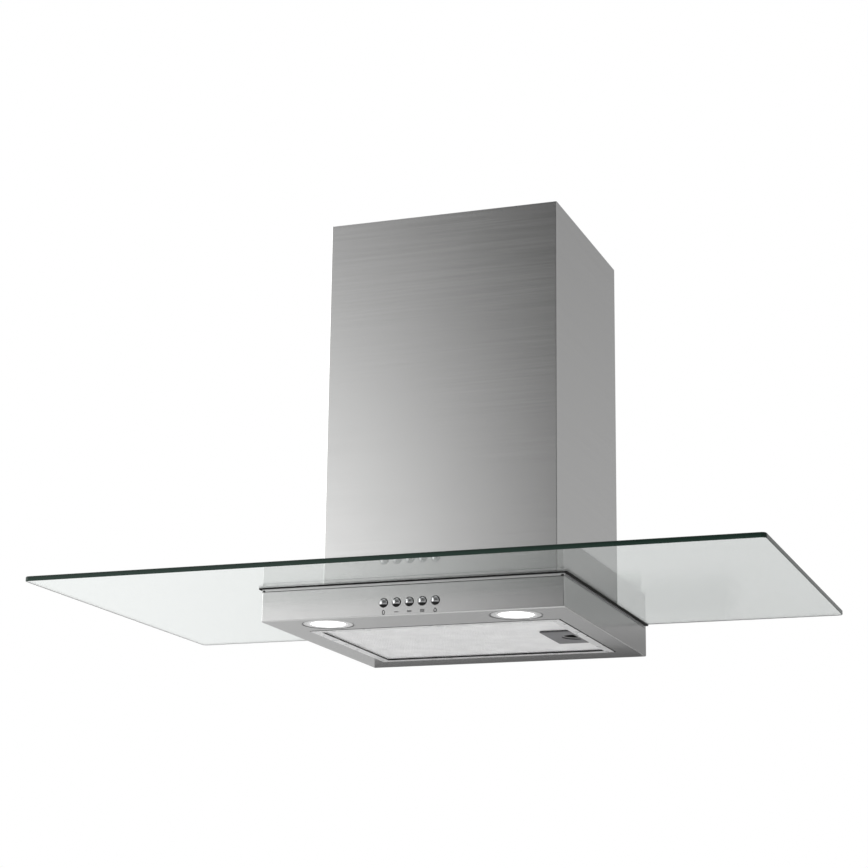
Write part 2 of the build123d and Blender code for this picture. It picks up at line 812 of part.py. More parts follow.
# ------------------------------------------------------------------ impeller
with BuildPart() as impeller:
    # hub and web, turned
    with BuildSketch(shaft_plane):
        with Locations((web_position, (impeller_radius + shaft_radius) / 2)):
            Rectangle(web_thickness, impeller_radius - shaft_radius)
        with Locations((web_position, (hub_radius + shaft_radius) / 2)):
            Rectangle(hub_length, hub_radius - shaft_radius)
    revolve(axis=shaft_axis)
    # forward-curved blades right across both sides of the web
    with BuildSketch(fan_plane.offset(-impeller_half_width)):
        with PolarLocations(0, blade_count):
            with BuildLine():
                blade_line = ThreePointArc(
                    (impeller_eye_radius, 0),
                    PolarLine(
                        (0, 0),
                        (impeller_eye_radius + impeller_radius) / 2,
                        blade_sweep / 2 - blade_bow,
                        mode=Mode.PRIVATE,
                    )
                    @ 1,
                    PolarLine(
                        (0, 0), impeller_radius - blade_thickness, blade_sweep, mode=Mode.PRIVATE
                    )
                    @ 1,
                )
            trace(blade_line, line_width=blade_thickness)
    extrude(amount=2 * impeller_half_width)
    # end rings
    for ring_level in (-impeller_half_width, impeller_half_width - impeller_ring):
        with BuildSketch(fan_plane.offset(ring_level)):
            Circle(impeller_radius)
            Circle(impeller_radius - impeller_ring_band, mode=Mode.SUBTRACT)
        extrude(amount=impeller_ring)
impeller.part.label = "impeller"
export_step(impeller.part, "parts/impeller.step")

# ------------------------------------------------------------------ motor and its mounting
with BuildPart() as motor:
    with BuildSketch(shaft_plane):
        with Locations((motor_start + motor_length / 2, motor_radius / 2)):
            Rectangle(motor_length, motor_radius)
        chamfer(vertices().group_by(Axis.Y)[-1], length=motor_chamfer)
        with Locations((motor_start - motor_end_length / 2, motor_end_radius / 2)):
            Rectangle(motor_end_length, motor_end_radius)
        with Locations((mount_x - motor_length / 2 - motor_end_length / 2, 0)):
            Rectangle(
                2 * (motor_length + motor_end_length),
                2 * (shaft_radius + bearing_clearance),
                mode=Mode.SUBTRACT,
            )
    revolve(axis=shaft_axis)
motor.part.label = "motor"
export_step(motor.part, "parts/motor.step")

shaft_start = motor_start - motor_end_length - shaft_overhang
shaft_end = mount_x - motor_chamfer
with BuildPart() as motor_shaft:
    with BuildSketch(fan_plane.offset(shaft_start)):
        Circle(shaft_radius)
    extrude(amount=shaft_end - shaft_start)
    chamfer(motor_shaft.faces().sort_by(Axis.X)[0].edges(), length=shaft_radius / 4)
motor_shaft.part.label = "motor_shaft"
export_step(motor_shaft.part, "parts/motor_shaft.step")

with BuildPart() as motor_mount:
    with BuildSketch(fan_plane.offset(mount_x)):
        Circle(mount_disc_radius)
        with PolarLocations(0, grommet_count, start_angle=grommet_start):
            with Locations(((grommet_circle_radius + grommet_radius) / 2, 0)):
                SlotOverall(grommet_circle_radius + grommet_radius + arm_width / 2, arm_width)
        with PolarLocations(grommet_circle_radius, grommet_count, start_angle=grommet_start):
            Circle(grommet_neck_radius, mode=Mode.SUBTRACT)
        with PolarLocations(
            mount_disc_radius - 2 * mount_vent_radius,
            2 * grommet_count,
            start_angle=grommet_start + 180 / grommet_count,
        ):
            Circle(mount_vent_radius, mode=Mode.SUBTRACT)
        Circle(2 * mount_vent_radius, mode=Mode.SUBTRACT)
    extrude(amount=mount_plate)
motor_mount.part.label = "motor_mount"
export_step(motor_mount.part, "parts/motor_mount.step")

# rubber grommets: a spool round each arm's hole, between the scroll wall and the screw's head
with BuildPart() as motor_grommets:
    for spool_start, spool_length, spool_radius in (
        (scroll_half_width, mount_standoff, grommet_radius),
        (mount_x, mount_plate, grommet_neck_radius),
        (mount_x + mount_plate, mount_standoff, grommet_radius),
    ):
        with BuildSketch(fan_plane.offset(spool_start)):
            with PolarLocations(grommet_circle_radius, grommet_count, start_angle=grommet_start):
                Circle(spool_radius)
                Circle(screw_radius + screw_hole_gap, mode=Mode.SUBTRACT)
        extrude(amount=spool_length)
motor_grommets.part.label = "motor_grommets"
export_step(motor_grommets.part, "parts/motor_grommets.step")

# ------------------------------------------------------------------ outlet duct and collar
duct_height = casing_top - casing_sheet - duct_gap - throat_z
with BuildPart() as outlet_duct:
    with BuildSketch(Plane.XY.offset(throat_z)):
        with Locations((0, throat_y)):
            RectangleRounded(
                2 * scroll_half_width, scroll_throat_width + 2 * scroll_wall, 2 * duct_flange
            )
    with BuildSketch(Plane.XY.offset(throat_z + duct_height)):
        with Locations((0, collar_y)):
            Circle(duct_spigot_radius)
    loft()
    with BuildSketch(Plane.XY.offset(throat_z + duct_height)):
        with Locations((0, collar_y)):
            Circle(duct_spigot_radius)
    extrude(amount=casing_sheet + duct_gap + ledge_height / 2)
    with BuildSketch(Plane.XY.offset(throat_z)):
        with Locations((0, throat_y)):
            Rectangle(
                2 * (scroll_half_width + duct_flange),
                scroll_throat_width + 2 * (scroll_wall + duct_flange),
            )
    extrude(amount=duct_flange_thickness)
    with BuildSketch(Plane.XY.offset(throat_z)):
        with Locations((0, throat_y)):
            RectangleRounded(
                2 * (scroll_half_width - duct_wall),
                scroll_throat_width + 2 * (scroll_wall - duct_wall),
                2 * duct_flange - duct_wall,
            )
    with BuildSketch(Plane.XY.offset(throat_z + duct_height)):
        with Locations((0, collar_y)):
            Circle(duct_spigot_radius - duct_wall)
    loft(mode=Mode.SUBTRACT)
    with BuildSketch(Plane.XY.offset(throat_z + duct_height)):
        with Locations((0, collar_y)):
            Circle(duct_spigot_radius - duct_wall)
    extrude(amount=casing_sheet + duct_gap + ledge_height / 2, mode=Mode.SUBTRACT)
outlet_duct.part.label = "outlet_duct"
export_step(outlet_duct.part, "parts/outlet_duct.step")

collar_axis = Axis((0, collar_y, 0), (0, 0, 1))
collar_side = Plane(origin=(0, collar_y, collar_base), x_dir=(1, 0, 0), z_dir=(0, -1, 0))
collar_inner = collar_radius - collar_wall
with BuildPart() as outlet_collar:
    with BuildSketch(collar_side):
        with BuildLine():
            Polyline(
                (duct_spigot_radius + duct_gap, 0),
                (collar_flange_radius, 0),
                (collar_flange_radius, collar_flange),
                (collar_radius, collar_flange),
                (collar_radius, collar_height),
                (collar_inner, collar_height),
                (collar_inner, ledge_height + ledge_thickness),
                (collar_inner - ledge_reach, ledge_height + ledge_thickness),
                (collar_inner - ledge_reach, ledge_height),
                (duct_spigot_radius + duct_gap, ledge_height),
                close=True,
            )
        make_face()
    revolve(axis=collar_axis)
    with BuildSketch(Plane(origin=(0, collar_y, spindle_z), x_dir=(0, 1, 0), z_dir=(1, 0, 0))):
        Circle(spindle_radius + spindle_clearance)
    extrude(amount=collar_radius - spindle_end_gap, both=True, mode=Mode.SUBTRACT)
    with BuildSketch(Plane.XY.offset(collar_base)):
        with Locations(*collar_screw_points):
            Circle(screw_radius + screw_hole_gap)
    extrude(amount=collar_flange, mode=Mode.SUBTRACT)
outlet_collar.part.label = "outlet_collar"
export_step(outlet_collar.part, "parts/outlet_collar.step")

with BuildPart() as damper_spindle:
    with BuildSketch(Plane(origin=(0, collar_y, spindle_z), x_dir=(0, 1, 0), z_dir=(1, 0, 0))):
        Circle(spindle_radius)
    extrude(amount=collar_radius - 2 * spindle_end_gap, both=True)
damper_spindle.part.label = "damper_spindle"
export_step(damper_spindle.part, "parts/damper_spindle.step")

knuckle_pitch = knuckle_length + knuckle_gap

# Two half-moon flaps share the spindle; their knuckles interleave along it.
for flap_name, flap_side, knuckle_xs in (
    ("damper_flap_front", -1, (-1.5 * knuckle_pitch, 0.5 * knuckle_pitch)),
    ("damper_flap_back", 1, (-0.5 * knuckle_pitch, 1.5 * knuckle_pitch)),
):
    with BuildPart() as flap:
        with BuildSketch(Plane(origin=(0, collar_y, flap_z))):
            Circle(flap_radius)
            with Locations((0, flap_side * (flap_inset - flap_radius))):
                Rectangle(2 * flap_radius, 2 * flap_radius, mode=Mode.SUBTRACT)
        extrude(amount=flap_thickness)
        with BuildSketch(Plane(origin=(0, collar_y, flap_z))):
            for knuckle_x in knuckle_xs:
                with Locations((knuckle_x, flap_side * flap_inset)):
                    Rectangle(knuckle_length, 2 * flap_inset)
        extrude(amount=flap_thickness)
        for knuckle_x in knuckle_xs:
            knuckle_start = Plane(
                origin=(knuckle_x - knuckle_length / 2, collar_y, spindle_z),
                x_dir=(0, 1, 0),
                z_dir=(1, 0, 0),
            )
            with BuildSketch(knuckle_start):
                Circle(knuckle_radius)
            extrude(amount=knuckle_length)
            with BuildSketch(knuckle_start):
                Circle(spindle_radius + spindle_clearance)
            extrude(amount=knuckle_length, mode=Mode.SUBTRACT)
    flap.part.label = flap_name
    export_step(flap.part, f"parts/{flap_name}.step")

# ------------------------------------------------------------------ connection box
box_y = -(frame_sheet + box_back_gap + box_depth / 2)
box_floor = casing_top
with BuildPart() as connection_box:
    with BuildSketch(Plane.XY.offset(box_floor)):
        with Locations((0, box_y)):
            RectangleRounded(box_length, box_depth, 2 * box_wall)
    extrude(amount=box_height)
    with BuildSketch(Plane.XY.offset(box_floor + box_wall)):
        with Locations((0, box_y)):
            RectangleRounded(box_length - 2 * box_wall, box_depth - 2 * box_wall, box_wall)
    extrude(amount=box_height - box_wall, mode=Mode.SUBTRACT)
    # two screw posts for the lid, in opposite corners
    with BuildSketch(Plane.XY.offset(box_floor + box_wall)):
        for post_side in (-1, 1):
            post_x = post_side * (box_length / 2 - box_wall - screw_head_radius)
            post_y = box_y + post_side * (box_depth / 2 - box_wall - screw_head_radius)
            with Locations((post_x, post_y)):
                Circle(screw_head_radius + box_wall / 2)
                Circle(screw_radius + screw_hole_gap, mode=Mode.SUBTRACT)
    extrude(amount=box_height - box_wall)
connection_box.part.label = "connection_box"
export_step(connection_box.part, "parts/connection_box.step")

with BuildPart() as connection_lid:
    with BuildSketch(Plane.XY.offset(box_floor + box_height)):
        with Locations((0, box_y)):
            RectangleRounded(box_length, box_depth, 2 * box_wall)
        for post_side in (-1, 1):
            post_x = post_side * (box_length / 2 - box_wall - screw_head_radius)
            post_y = box_y + post_side * (box_depth / 2 - box_wall - screw_head_radius)
            with Locations((post_x, post_y)):
                Circle(screw_radius + screw_hole_gap, mode=Mode.SUBTRACT)
        with Locations((gland_offset, box_y)):
            Circle(gland_neck_radius + gland_neck_gap, mode=Mode.SUBTRACT)
    extrude(amount=box_lid)
    chamfer(connection_lid.edges().group_by(Axis.Z)[-1].filter_by(GeomType.LINE), length=box_lid / 3)
connection_lid.part.label = "connection_lid"
export_step(connection_lid.part, "parts/connection_lid.step")

# mains cable gland through the lid: a nut below it and one above, hollow for the cable
gland_plane = Plane.XY.offset(box_floor + box_height - box_wall)
with BuildPart() as cable_gland:
    with BuildSketch(gland_plane):
        with Locations((gland_offset, box_y)):
            RegularPolygon(gland_radius, 6)
    extrude(amount=box_wall)
    with BuildSketch(gland_plane.offset(box_wall)):
        with Locations((gland_offset, box_y)):
            Circle(gland_neck_radius)
    extrude(amount=box_lid)
    with BuildSketch(gland_plane.offset(box_wall + box_lid)):
        with Locations((gland_offset, box_y)):
            RegularPolygon(gland_radius, 6)
    extrude(amount=gland_length / 2)
    with BuildSketch(gland_plane.offset(box_wall + box_lid + gland_length / 2)):
        with Locations((gland_offset, box_y)):
            Circle(gland_radius * math.cos(math.pi / 6))
    extrude(amount=gland_length / 2, taper=gland_taper)
    with BuildSketch(gland_plane):
        with Locations((gland_offset, box_y)):
            Circle(gland_bore)
    extrude(amount=box_wall + box_lid + gland_length, mode=Mode.SUBTRACT)
cable_gland.part.label = "cable_gland"
export_step(cable_gland.part, "parts/cable_gland.step")

capacitor_start = -(box_length / 2 - 2 * box_wall - 2 * screw_head_radius)
with BuildPart() as motor_capacitor:
    with BuildSketch(
        Plane(
            origin=(capacitor_start, box_y, box_floor + box_wall + capacitor_radius + mesh_gap),
            x_dir=(0, 1, 0),
            z_dir=(1, 0, 0),
        )
    ):
        Circle(capacitor_radius)
    extrude(amount=capacitor_length)
    chamfer(motor_capacitor.edges().sort_by(Axis.X)[-1], length=box_wall)
motor_capacitor.part.label = "motor_capacitor"
export_step(motor_capacitor.part, "parts/motor_capacitor.step")

# ------------------------------------------------------------------ lamps
# Each lamp: a can flanged on top of the bottom sheet, a ring pushed up into it from below, and a
# frosted lens, reflector and capsule bulb inside.
lamp_spigot_radius = lamp_can_radius - lamp_can_wall - lamp_fit
lens_shoulder_radius = lamp_lens_radius + lamp_lens_shoulder
lamp_lip = lamp_fit
lamp_top = body_sheet + lamp_can_height
reflector_bottom = body_sheet + lamp_lens_height + lamp_fit
reflector_top = lamp_top - lamp_can_wall - bulb_base_height
for lamp_name, lamp_x in zip(("left", "right"), lamp_xs):
    lamp_plane = Plane(origin=(lamp_x, lamp_y, 0), x_dir=(1, 0, 0), z_dir=(0, -1, 0))
    lamp_axis = Axis((lamp_x, lamp_y, 0), (0, 0, 1))

    with BuildPart() as lamp_can:
        with BuildSketch(lamp_plane):
            with BuildLine():
                Polyline(
                    (lamp_can_radius - lamp_can_wall, body_sheet),
                    (lamp_can_flange, body_sheet),
                    (lamp_can_flange, 2 * body_sheet),
                    (lamp_can_radius, 2 * body_sheet),
                    (lamp_can_radius, lamp_top),
                    (0, lamp_top),
                    (0, lamp_top - lamp_can_wall),
                    (lamp_can_radius - lamp_can_wall, lamp_top - lamp_can_wall),
                    close=True,
                )
            make_face()
        revolve(axis=lamp_axis)
    lamp_can.part.label = f"lamp_can_{lamp_name}"
    export_step(lamp_can.part, f"parts/lamp_can_{lamp_name}.step")

    with BuildPart() as lamp_ring:
        with BuildSketch(lamp_plane):
            with BuildLine():
                Polyline(
                    (lamp_lens_radius + lamp_lip, lamp_ring_recess),
                    (lamp_ring_radius, lamp_ring_recess),
                    (lamp_ring_radius, body_sheet),
                    (lamp_spigot_radius, body_sheet),
                    (lamp_spigot_radius, body_sheet + lamp_spigot_height),
                    (lens_shoulder_radius + lamp_fit, body_sheet + lamp_spigot_height),
                    (lens_shoulder_radius + lamp_fit, body_sheet),
                    (lamp_lens_radius + lamp_lip, body_sheet),
                    close=True,
                )
            make_face()
        revolve(axis=lamp_axis)
        chamfer(lamp_ring.edges().group_by(Axis.Z)[0], length=lamp_ring_recess)
    lamp_ring.part.label = f"lamp_ring_{lamp_name}"
    export_step(lamp_ring.part, f"parts/lamp_ring_{lamp_name}.step")

    with BuildPart() as lamp_lens:
        with BuildSketch(lamp_plane):
            with BuildLine():
                Polyline(
                    (0, lamp_lens_recess),
                    (lamp_lens_radius, lamp_lens_recess),
                    (lamp_lens_radius, body_sheet),
                    (lens_shoulder_radius, body_sheet),
                    (lens_shoulder_radius, body_sheet + lamp_lens_height),
                    (0, body_sheet + lamp_lens_height),
                    close=True,
                )
            make_face()
        revolve(axis=lamp_axis)
    lamp_lens.part.label = f"lamp_lens_{lamp_name}"
    export_step(lamp_lens.part, f"parts/lamp_lens_{lamp_name}.step")

    with BuildPart() as lamp_reflector:
        with BuildSketch(lamp_plane):
            with BuildLine():
                rim_inner = Line(
                    (lens_shoulder_radius - reflector_wall, reflector_bottom),
                    (lens_shoulder_radius, reflector_bottom),
                )
                Polyline(
                    rim_inner @ 1,
                    (reflector_top_radius + reflector_wall, reflector_top),
                    (reflector_top_radius, reflector_top),
                    rim_inner @ 0,
                )
            make_face()
        revolve(axis=lamp_axis)
    lamp_reflector.part.label = f"lamp_reflector_{lamp_name}"
    export_step(lamp_reflector.part, f"parts/lamp_reflector_{lamp_name}.step")

    with BuildPart() as lamp_bulb:
        with BuildSketch(lamp_plane):
            with Locations((bulb_base_radius / 2, lamp_top - lamp_can_wall - bulb_base_height / 2)):
                Rectangle(bulb_base_radius, bulb_base_height)
            with Locations((bulb_radius / 2, reflector_top - (bulb_length - bulb_radius) / 2)):
                Rectangle(bulb_radius, bulb_length - bulb_radius)
        revolve(axis=lamp_axis)
        with Locations((lamp_x, lamp_y, reflector_top - bulb_length + bulb_radius)):
            Sphere(bulb_radius)
    lamp_bulb.part.label = f"lamp_bulb_{lamp_name}"
    export_step(lamp_bulb.part, f"parts/lamp_bulb_{lamp_name}.step")

# ------------------------------------------------------------------ push buttons and switches
switch_front = front_face + body_sheet + button_inside + switch_gap
switch_length = (button_count - 1) * button_pitch + 2 * switch_side_margin
switch_bottom = body_sheet + bracket_plate
switch_top = button_height + switch_top_margin
stem_socket = stem_length - switch_gap + 2 * button_travel

for button_name, button_x in zip(
    ("button_off", "button_speed_1", "button_speed_2", "button_speed_3", "button_lamp"), button_xs
):
    button_axis = Axis((button_x, front_face, button_height), (0, 1, 0))
    profile_plane = Plane(
        origin=(button_x, front_face, button_height), x_dir=(1, 0, 0), z_dir=(0, 0, 1)
    )
    with BuildPart() as button:
        with BuildSketch(profile_plane):
            with BuildLine():
                dome = RadiusArc(
                    (0, -button_collar - button_dome),
                    (button_radius, -button_collar),
                    (button_radius**2 + button_dome**2) / (2 * button_dome),
                )
                Polyline(
                    dome @ 1,
                    (button_radius, body_sheet + button_inside),
                    (stem_radius, body_sheet + button_inside),
                    (stem_radius, body_sheet + button_inside + stem_length),
                    (0, body_sheet + button_inside + stem_length),
                    dome @ 0,
                )
            make_face()
        revolve(axis=button_axis)
    button.part.label = button_name
    export_step(button.part, f"parts/{button_name}.step")

with BuildPart() as switch_bank:
    with BuildSketch(Plane.XZ.offset(-switch_front)):
        with Locations((0, (switch_bottom + switch_top) / 2)):
            Rectangle(switch_length, switch_top - switch_bottom)
    extrude(amount=-switch_depth)
    fillet(switch_bank.edges().filter_by(Axis.Y), radius=box_wall)
    with BuildSketch(Plane.XZ.offset(-switch_front)):
        with Locations(*[(x, button_height) for x in button_xs]):
            Circle(stem_radius + stem_clearance)
    extrude(amount=-stem_socket, mode=Mode.SUBTRACT)
    # spade terminals at the back
    with BuildSketch(Plane.XZ.offset(-switch_front - switch_depth)):
        with Locations(*[(x, button_height) for x in button_xs]):
            Rectangle(terminal_tab_width, bracket_plate)
    extrude(amount=-terminal_tab_length)
switch_bank.part.label = "switch_bank"
export_step(switch_bank.part, "parts/switch_bank.step")

# folded bracket that carries the switch bank off the bottom sheet
with BuildPart() as switch_bracket:
    with BuildSketch(Plane.XY.offset(body_sheet)):
        with Locations((0, switch_front + switch_depth / 2)):
            Rectangle(switch_length + 2 * bracket_plate + 2 * latch_fit, switch_depth)
    extrude(amount=bracket_plate)
    with BuildSketch(Plane.XY.offset(body_sheet)):
        for cheek_side in (-1, 1):
            cheek_x = cheek_side * (switch_length / 2 + latch_fit + bracket_plate / 2)
            with Locations((cheek_x, switch_front + switch_depth / 2)):
                Rectangle(bracket_plate, switch_depth)
    extrude(amount=switch_top - body_sheet)
    fillet(
        switch_bracket.edges().filter_by(Axis.X).group_by(Axis.Z)[-1],
        radius=switch_side_margin / 2,
    )
switch_bracket.part.label = "switch_bracket"
export_step(switch_bracket.part, "parts/switch_bracket.step")

transformer_outer = body_width / 2 - body_sheet - transformer_gap
transformer_inner = opening_right + body_sheet + transformer_gap
transformer_width = transformer_outer - transformer_inner
with BuildPart() as lamp_transformer:
    with BuildSketch(Plane.XY.offset(body_sheet)):
        with Locations(((transformer_outer + transformer_inner) / 2, -transformer_depth)):
            Rectangle(transformer_width, transformer_length)
    extrude(amount=transformer_height)
    chamfer(lamp_transformer.edges().filter_by(Axis.Z), length=box_wall)
    fillet(lamp_transformer.edges().group_by(Axis.Z)[-1], radius=box_wall / 2)
lamp_transformer.part.label = "lamp_transformer"
export_step(lamp_transformer.part, "parts/lamp_transformer.step")

# ------------------------------------------------------------------ grease filter
filter_plane = Plane(origin=(panel_offset, filter_y, -filter_proud))
mesh_level = filter_return
back_mesh_level = filter_height - filter_sheet - mesh_sheet
core_bottom = mesh_level + mesh_sheet + mesh_gap
core_top = back_mesh_level - mesh_gap - core_layer
core_pitch = (core_top - core_bottom) / (core_layer_count - 1)
mesh_width = filter_width - 2 * filter_sheet - 2 * mesh_gap
mesh_depth = filter_depth - 2 * filter_sheet - 2 * mesh_gap
latch_bottom = mesh_level - latch_proud
latch_top = back_mesh_level - mesh_gap
tongue_top = latch_top - latch_skin - slide_gap
tongue_bottom = tongue_top - slide_thickness
latch_half = latch_width / 2
latch_offset = filter_width / 2 - filter_strip - latch_fit - latch_half
tongue_end = opening_right - panel_offset - tongue_short

# channel frame with the inner edge of its face hemmed upward
with BuildPart() as filter_frame:
    with BuildSketch(filter_plane):
        RectangleRounded(filter_width, filter_depth, filter_corner)
        Rectangle(filter_width - 2 * filter_strip, filter_depth - 2 * filter_strip, mode=Mode.SUBTRACT)
    extrude(amount=filter_height)
    with BuildSketch(filter_plane.offset(filter_sheet)):
        RectangleRounded(
            filter_width - 2 * filter_sheet,
            filter_depth - 2 * filter_sheet,
            filter_corner - filter_sheet,
        )
    extrude(amount=filter_height - 2 * filter_sheet, mode=Mode.SUBTRACT)
    with BuildSketch(filter_plane):
        Rectangle(
            filter_width - 2 * filter_strip + 2 * filter_sheet,
            filter_depth - 2 * filter_strip + 2 * filter_sheet,
        )
        Rectangle(filter_width - 2 * filter_strip, filter_depth - 2 * filter_strip, mode=Mode.SUBTRACT)
    extrude(amount=filter_return)
    # hinge tabs that hook over the body's bottom sheet on the left
    with BuildSketch(Plane.XY.offset(body_sheet + hinge_tab_lift)):
        for tab_side in (-1, 1):
            with Locations(
                (
                    hinge_x - (hinge_tab_reach - filter_sheet) / 2,
                    filter_y + tab_side * hinge_tab_spacing / 2,
                )
            ):
                Rectangle(hinge_tab_reach + filter_sheet, hinge_tab_width)
    extrude(amount=hinge_tab_thickness)
    # window for the latch tongue
    with BuildSketch(filter_plane.offset(tongue_bottom - slide_gap)):
        with Locations((filter_width / 2 - filter_sheet / 2, latch_shift)):
            Rectangle(2 * filter_sheet, tongue_width + 2 * slide_gap)
    extrude(amount=slide_thickness + 2 * slide_gap, mode=Mode.SUBTRACT)
filter_frame.part.label = "filter_frame"
export_step(filter_frame.part, "parts/filter_frame.step")

def mesh_layers(levels, thickness, latch_cut, tongue_cut):
    """Plain sheets over the filter's whole inside, cut round the latch and its tongue."""
    with BuildPart() as layers:
        for level in levels:
            with BuildSketch(filter_plane.offset(level)):
                RectangleRounded(mesh_width, mesh_depth, filter_corner)
                if latch_cut:
                    with Locations((latch_offset, latch_shift)):
                        Rectangle(
                            latch_width + 2 * latch_fit,
                            latch_length + 2 * latch_fit,
                            mode=Mode.SUBTRACT,
                        )
                if tongue_cut:
                    with Locations(((latch_offset + filter_width / 2) / 2, latch_shift)):
                        Rectangle(
                            filter_width / 2 - latch_offset,
                            tongue_width + 2 * latch_fit,
                            mode=Mode.SUBTRACT,
                        )
            extrude(amount=thickness)
    return layers.part


filter_face_mesh = mesh_layers([mesh_level], mesh_sheet, True, False)
filter_face_mesh.label = "filter_face_mesh"
export_step(filter_face_mesh, "parts/filter_face_mesh.step")

core_levels = [core_bottom + layer * core_pitch for layer in range(core_layer_count)]
filter_core = mesh_layers(core_levels, core_layer, True, True)
filter_core.label = "filter_core"
export_step(filter_core, "parts/filter_core.step")

filter_back_mesh = mesh_layers([back_mesh_level], mesh_sheet, False, False)
filter_back_mesh.label = "filter_back_mesh"
export_step(filter_back_mesh, "parts/filter_back_mesh.step")

# ------------------------------------------------------------------ filter latch
# A moulded pocket in the mesh with a D-shaped mouth; a finger pulls the slide to the left.
pull_x = latch_offset + latch_half - pull_edge
pocket_left = pull_x - pull_radius - pull_travel - slide_gap
pocket_right = latch_offset + latch_half - latch_skin
pocket_half = slide_length / 2 + slide_gap
with BuildPart() as latch_plate:
    with BuildSketch(filter_plane.offset(latch_bottom)):
        with Locations((latch_offset, latch_shift)):
            Rectangle(latch_width, latch_length)
    extrude(amount=latch_top - latch_bottom)
    with BuildSketch(filter_plane.offset(latch_bottom + latch_skin)):
        with Locations(((pocket_left + pocket_right) / 2, latch_shift)):
            Rectangle(pocket_right - pocket_left, 2 * pocket_half)
    extrude(amount=latch_top - latch_bottom - 2 * latch_skin, mode=Mode.SUBTRACT)
    with BuildSketch(filter_plane.offset(latch_bottom)):
        with Locations((pull_x, latch_shift)):
            Circle(pull_radius)
        with Locations((pull_x + pull_radius, latch_shift)):
            Rectangle(2 * pull_radius, 2 * pull_radius, mode=Mode.SUBTRACT)
    extrude(amount=latch_skin, mode=Mode.SUBTRACT)
    with BuildSketch(filter_plane.offset(tongue_bottom - slide_gap)):
        with Locations((latch_offset + latch_half, latch_shift)):
            Rectangle(4 * latch_skin, tongue_width + 2 * slide_gap)
    extrude(amount=slide_thickness + 2 * slide_gap, mode=Mode.SUBTRACT)
latch_plate.part.label = "latch_plate"
export_step(latch_plate.part, "parts/latch_plate.step")

slide_left = pull_x - pull_radius + pull_wall
with BuildPart() as latch_slide:
    with BuildSketch(filter_plane.offset(tongue_bottom)):
        with Locations(((slide_left + pocket_right - slide_gap) / 2, latch_shift)):
            Rectangle(pocket_right - slide_gap - slide_left, slide_length)
        with Locations(((pull_x + tongue_end) / 2, latch_shift)):
            Rectangle(tongue_end - pull_x, tongue_width)
    extrude(amount=slide_thickness)
    with BuildSketch(filter_plane.offset(latch_bottom + latch_skin + slide_gap)):
        with Locations((pull_x, latch_shift)):
            Circle(pull_radius - slide_gap)
            Circle(pull_radius - slide_gap - pull_wall, mode=Mode.SUBTRACT)
        with Locations((pull_x + pull_radius, latch_shift)):
            Rectangle(2 * pull_radius, 2 * pull_radius, mode=Mode.SUBTRACT)
        with Locations((pull_x, latch_shift + slide_length), (pull_x, latch_shift - slide_length)):
            Rectangle(2 * pull_radius, slide_length, mode=Mode.SUBTRACT)
    extrude(amount=tongue_top - latch_bottom - latch_skin - slide_gap)
latch_slide.part.label = "latch_slide"
export_step(latch_slide.part, "parts/latch_slide.step")

# ------------------------------------------------------------------ fasteners
bolt_bottom = plate_top - plate_sheet - nut_height - bolt_tail
with BuildPart() as clamp_bolts:
    with BuildSketch(Plane.XY.offset(frame_top)):
        with Locations(*clamp_points):
            RegularPolygon(bolt_head_radius, 6)
    extrude(amount=bolt_head_height)
    with BuildSketch(Plane.XY.offset(bolt_bottom)):
        with Locations(*clamp_points):
            Circle(bolt_radius)
    extrude(amount=frame_top - bolt_bottom)
clamp_bolts.part.label = "clamp_bolts"
export_step(clamp_bolts.part, "parts/clamp_bolts.step")

with BuildPart() as clamp_nuts:
    with BuildSketch(Plane.XY.offset(plate_top - plate_sheet - nut_height)):
        with Locations(*clamp_points):
            RegularPolygon(nut_radius, 6)
            Circle(bolt_radius + nut_thread_gap, mode=Mode.SUBTRACT)
    extrude(amount=nut_height)
clamp_nuts.part.label = "clamp_nuts"
export_step(clamp_nuts.part, "parts/clamp_nuts.step")

with BuildPart() as glass_sleeves:
    with BuildSketch(Plane.XY.offset(glass_bottom)):
        with Locations(*clamp_points):
            Circle(sleeve_radius)
            Circle(bolt_radius + bolt_hole_gap, mode=Mode.SUBTRACT)
    extrude(amount=glass_thickness)
glass_sleeves.part.label = "glass_sleeves"
export_step(glass_sleeves.part, "parts/glass_sleeves.step")

casing_screws = pan_screws(
    [Plane(origin=(x, y, frame_top + casing_sheet)) for x, y in casing_screw_points],
    casing_sheet + frame_sheet - screw_hole_gap,
)
casing_screws.label = "casing_screws"
export_step(casing_screws, "parts/casing_screws.step")

unit_screw_planes = [
    Plane(origin=(x, y, collar_base + collar_flange)) for x, y in collar_screw_points
]
for grommet_number in range(grommet_count):
    grommet_angle = math.radians(grommet_start + grommet_number * 360 / grommet_count)
    unit_screw_planes.append(
        Plane(
            origin=(
                mount_x + mount_plate + mount_standoff,
                fan_y + grommet_circle_radius * math.cos(grommet_angle),
                fan_z + grommet_circle_radius * math.sin(grommet_angle),
            ),
            z_dir=(1, 0, 0),
        )
    )
for post_side in (-1, 1):
    unit_screw_planes.append(
        Plane(
            origin=(
                post_side * (box_length / 2 - box_wall - screw_head_radius),
                box_y + post_side * (box_depth / 2 - box_wall - screw_head_radius),
                box_floor + box_height + box_lid,
            )
        )
    )
unit_screws = pan_screws(unit_screw_planes, unit_screw_length)
unit_screws.label = "unit_screws"
export_step(unit_screws, "parts/unit_screws.step")
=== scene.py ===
"""Looks of the flat-glass wall chimney hood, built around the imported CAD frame.

Metres, +X right, -Y front, +Z up. The wall is at y = 0 and the underside of the body at z = 0.
"""

import math

import bmesh
import bpy
from mathutils import Matrix, Vector


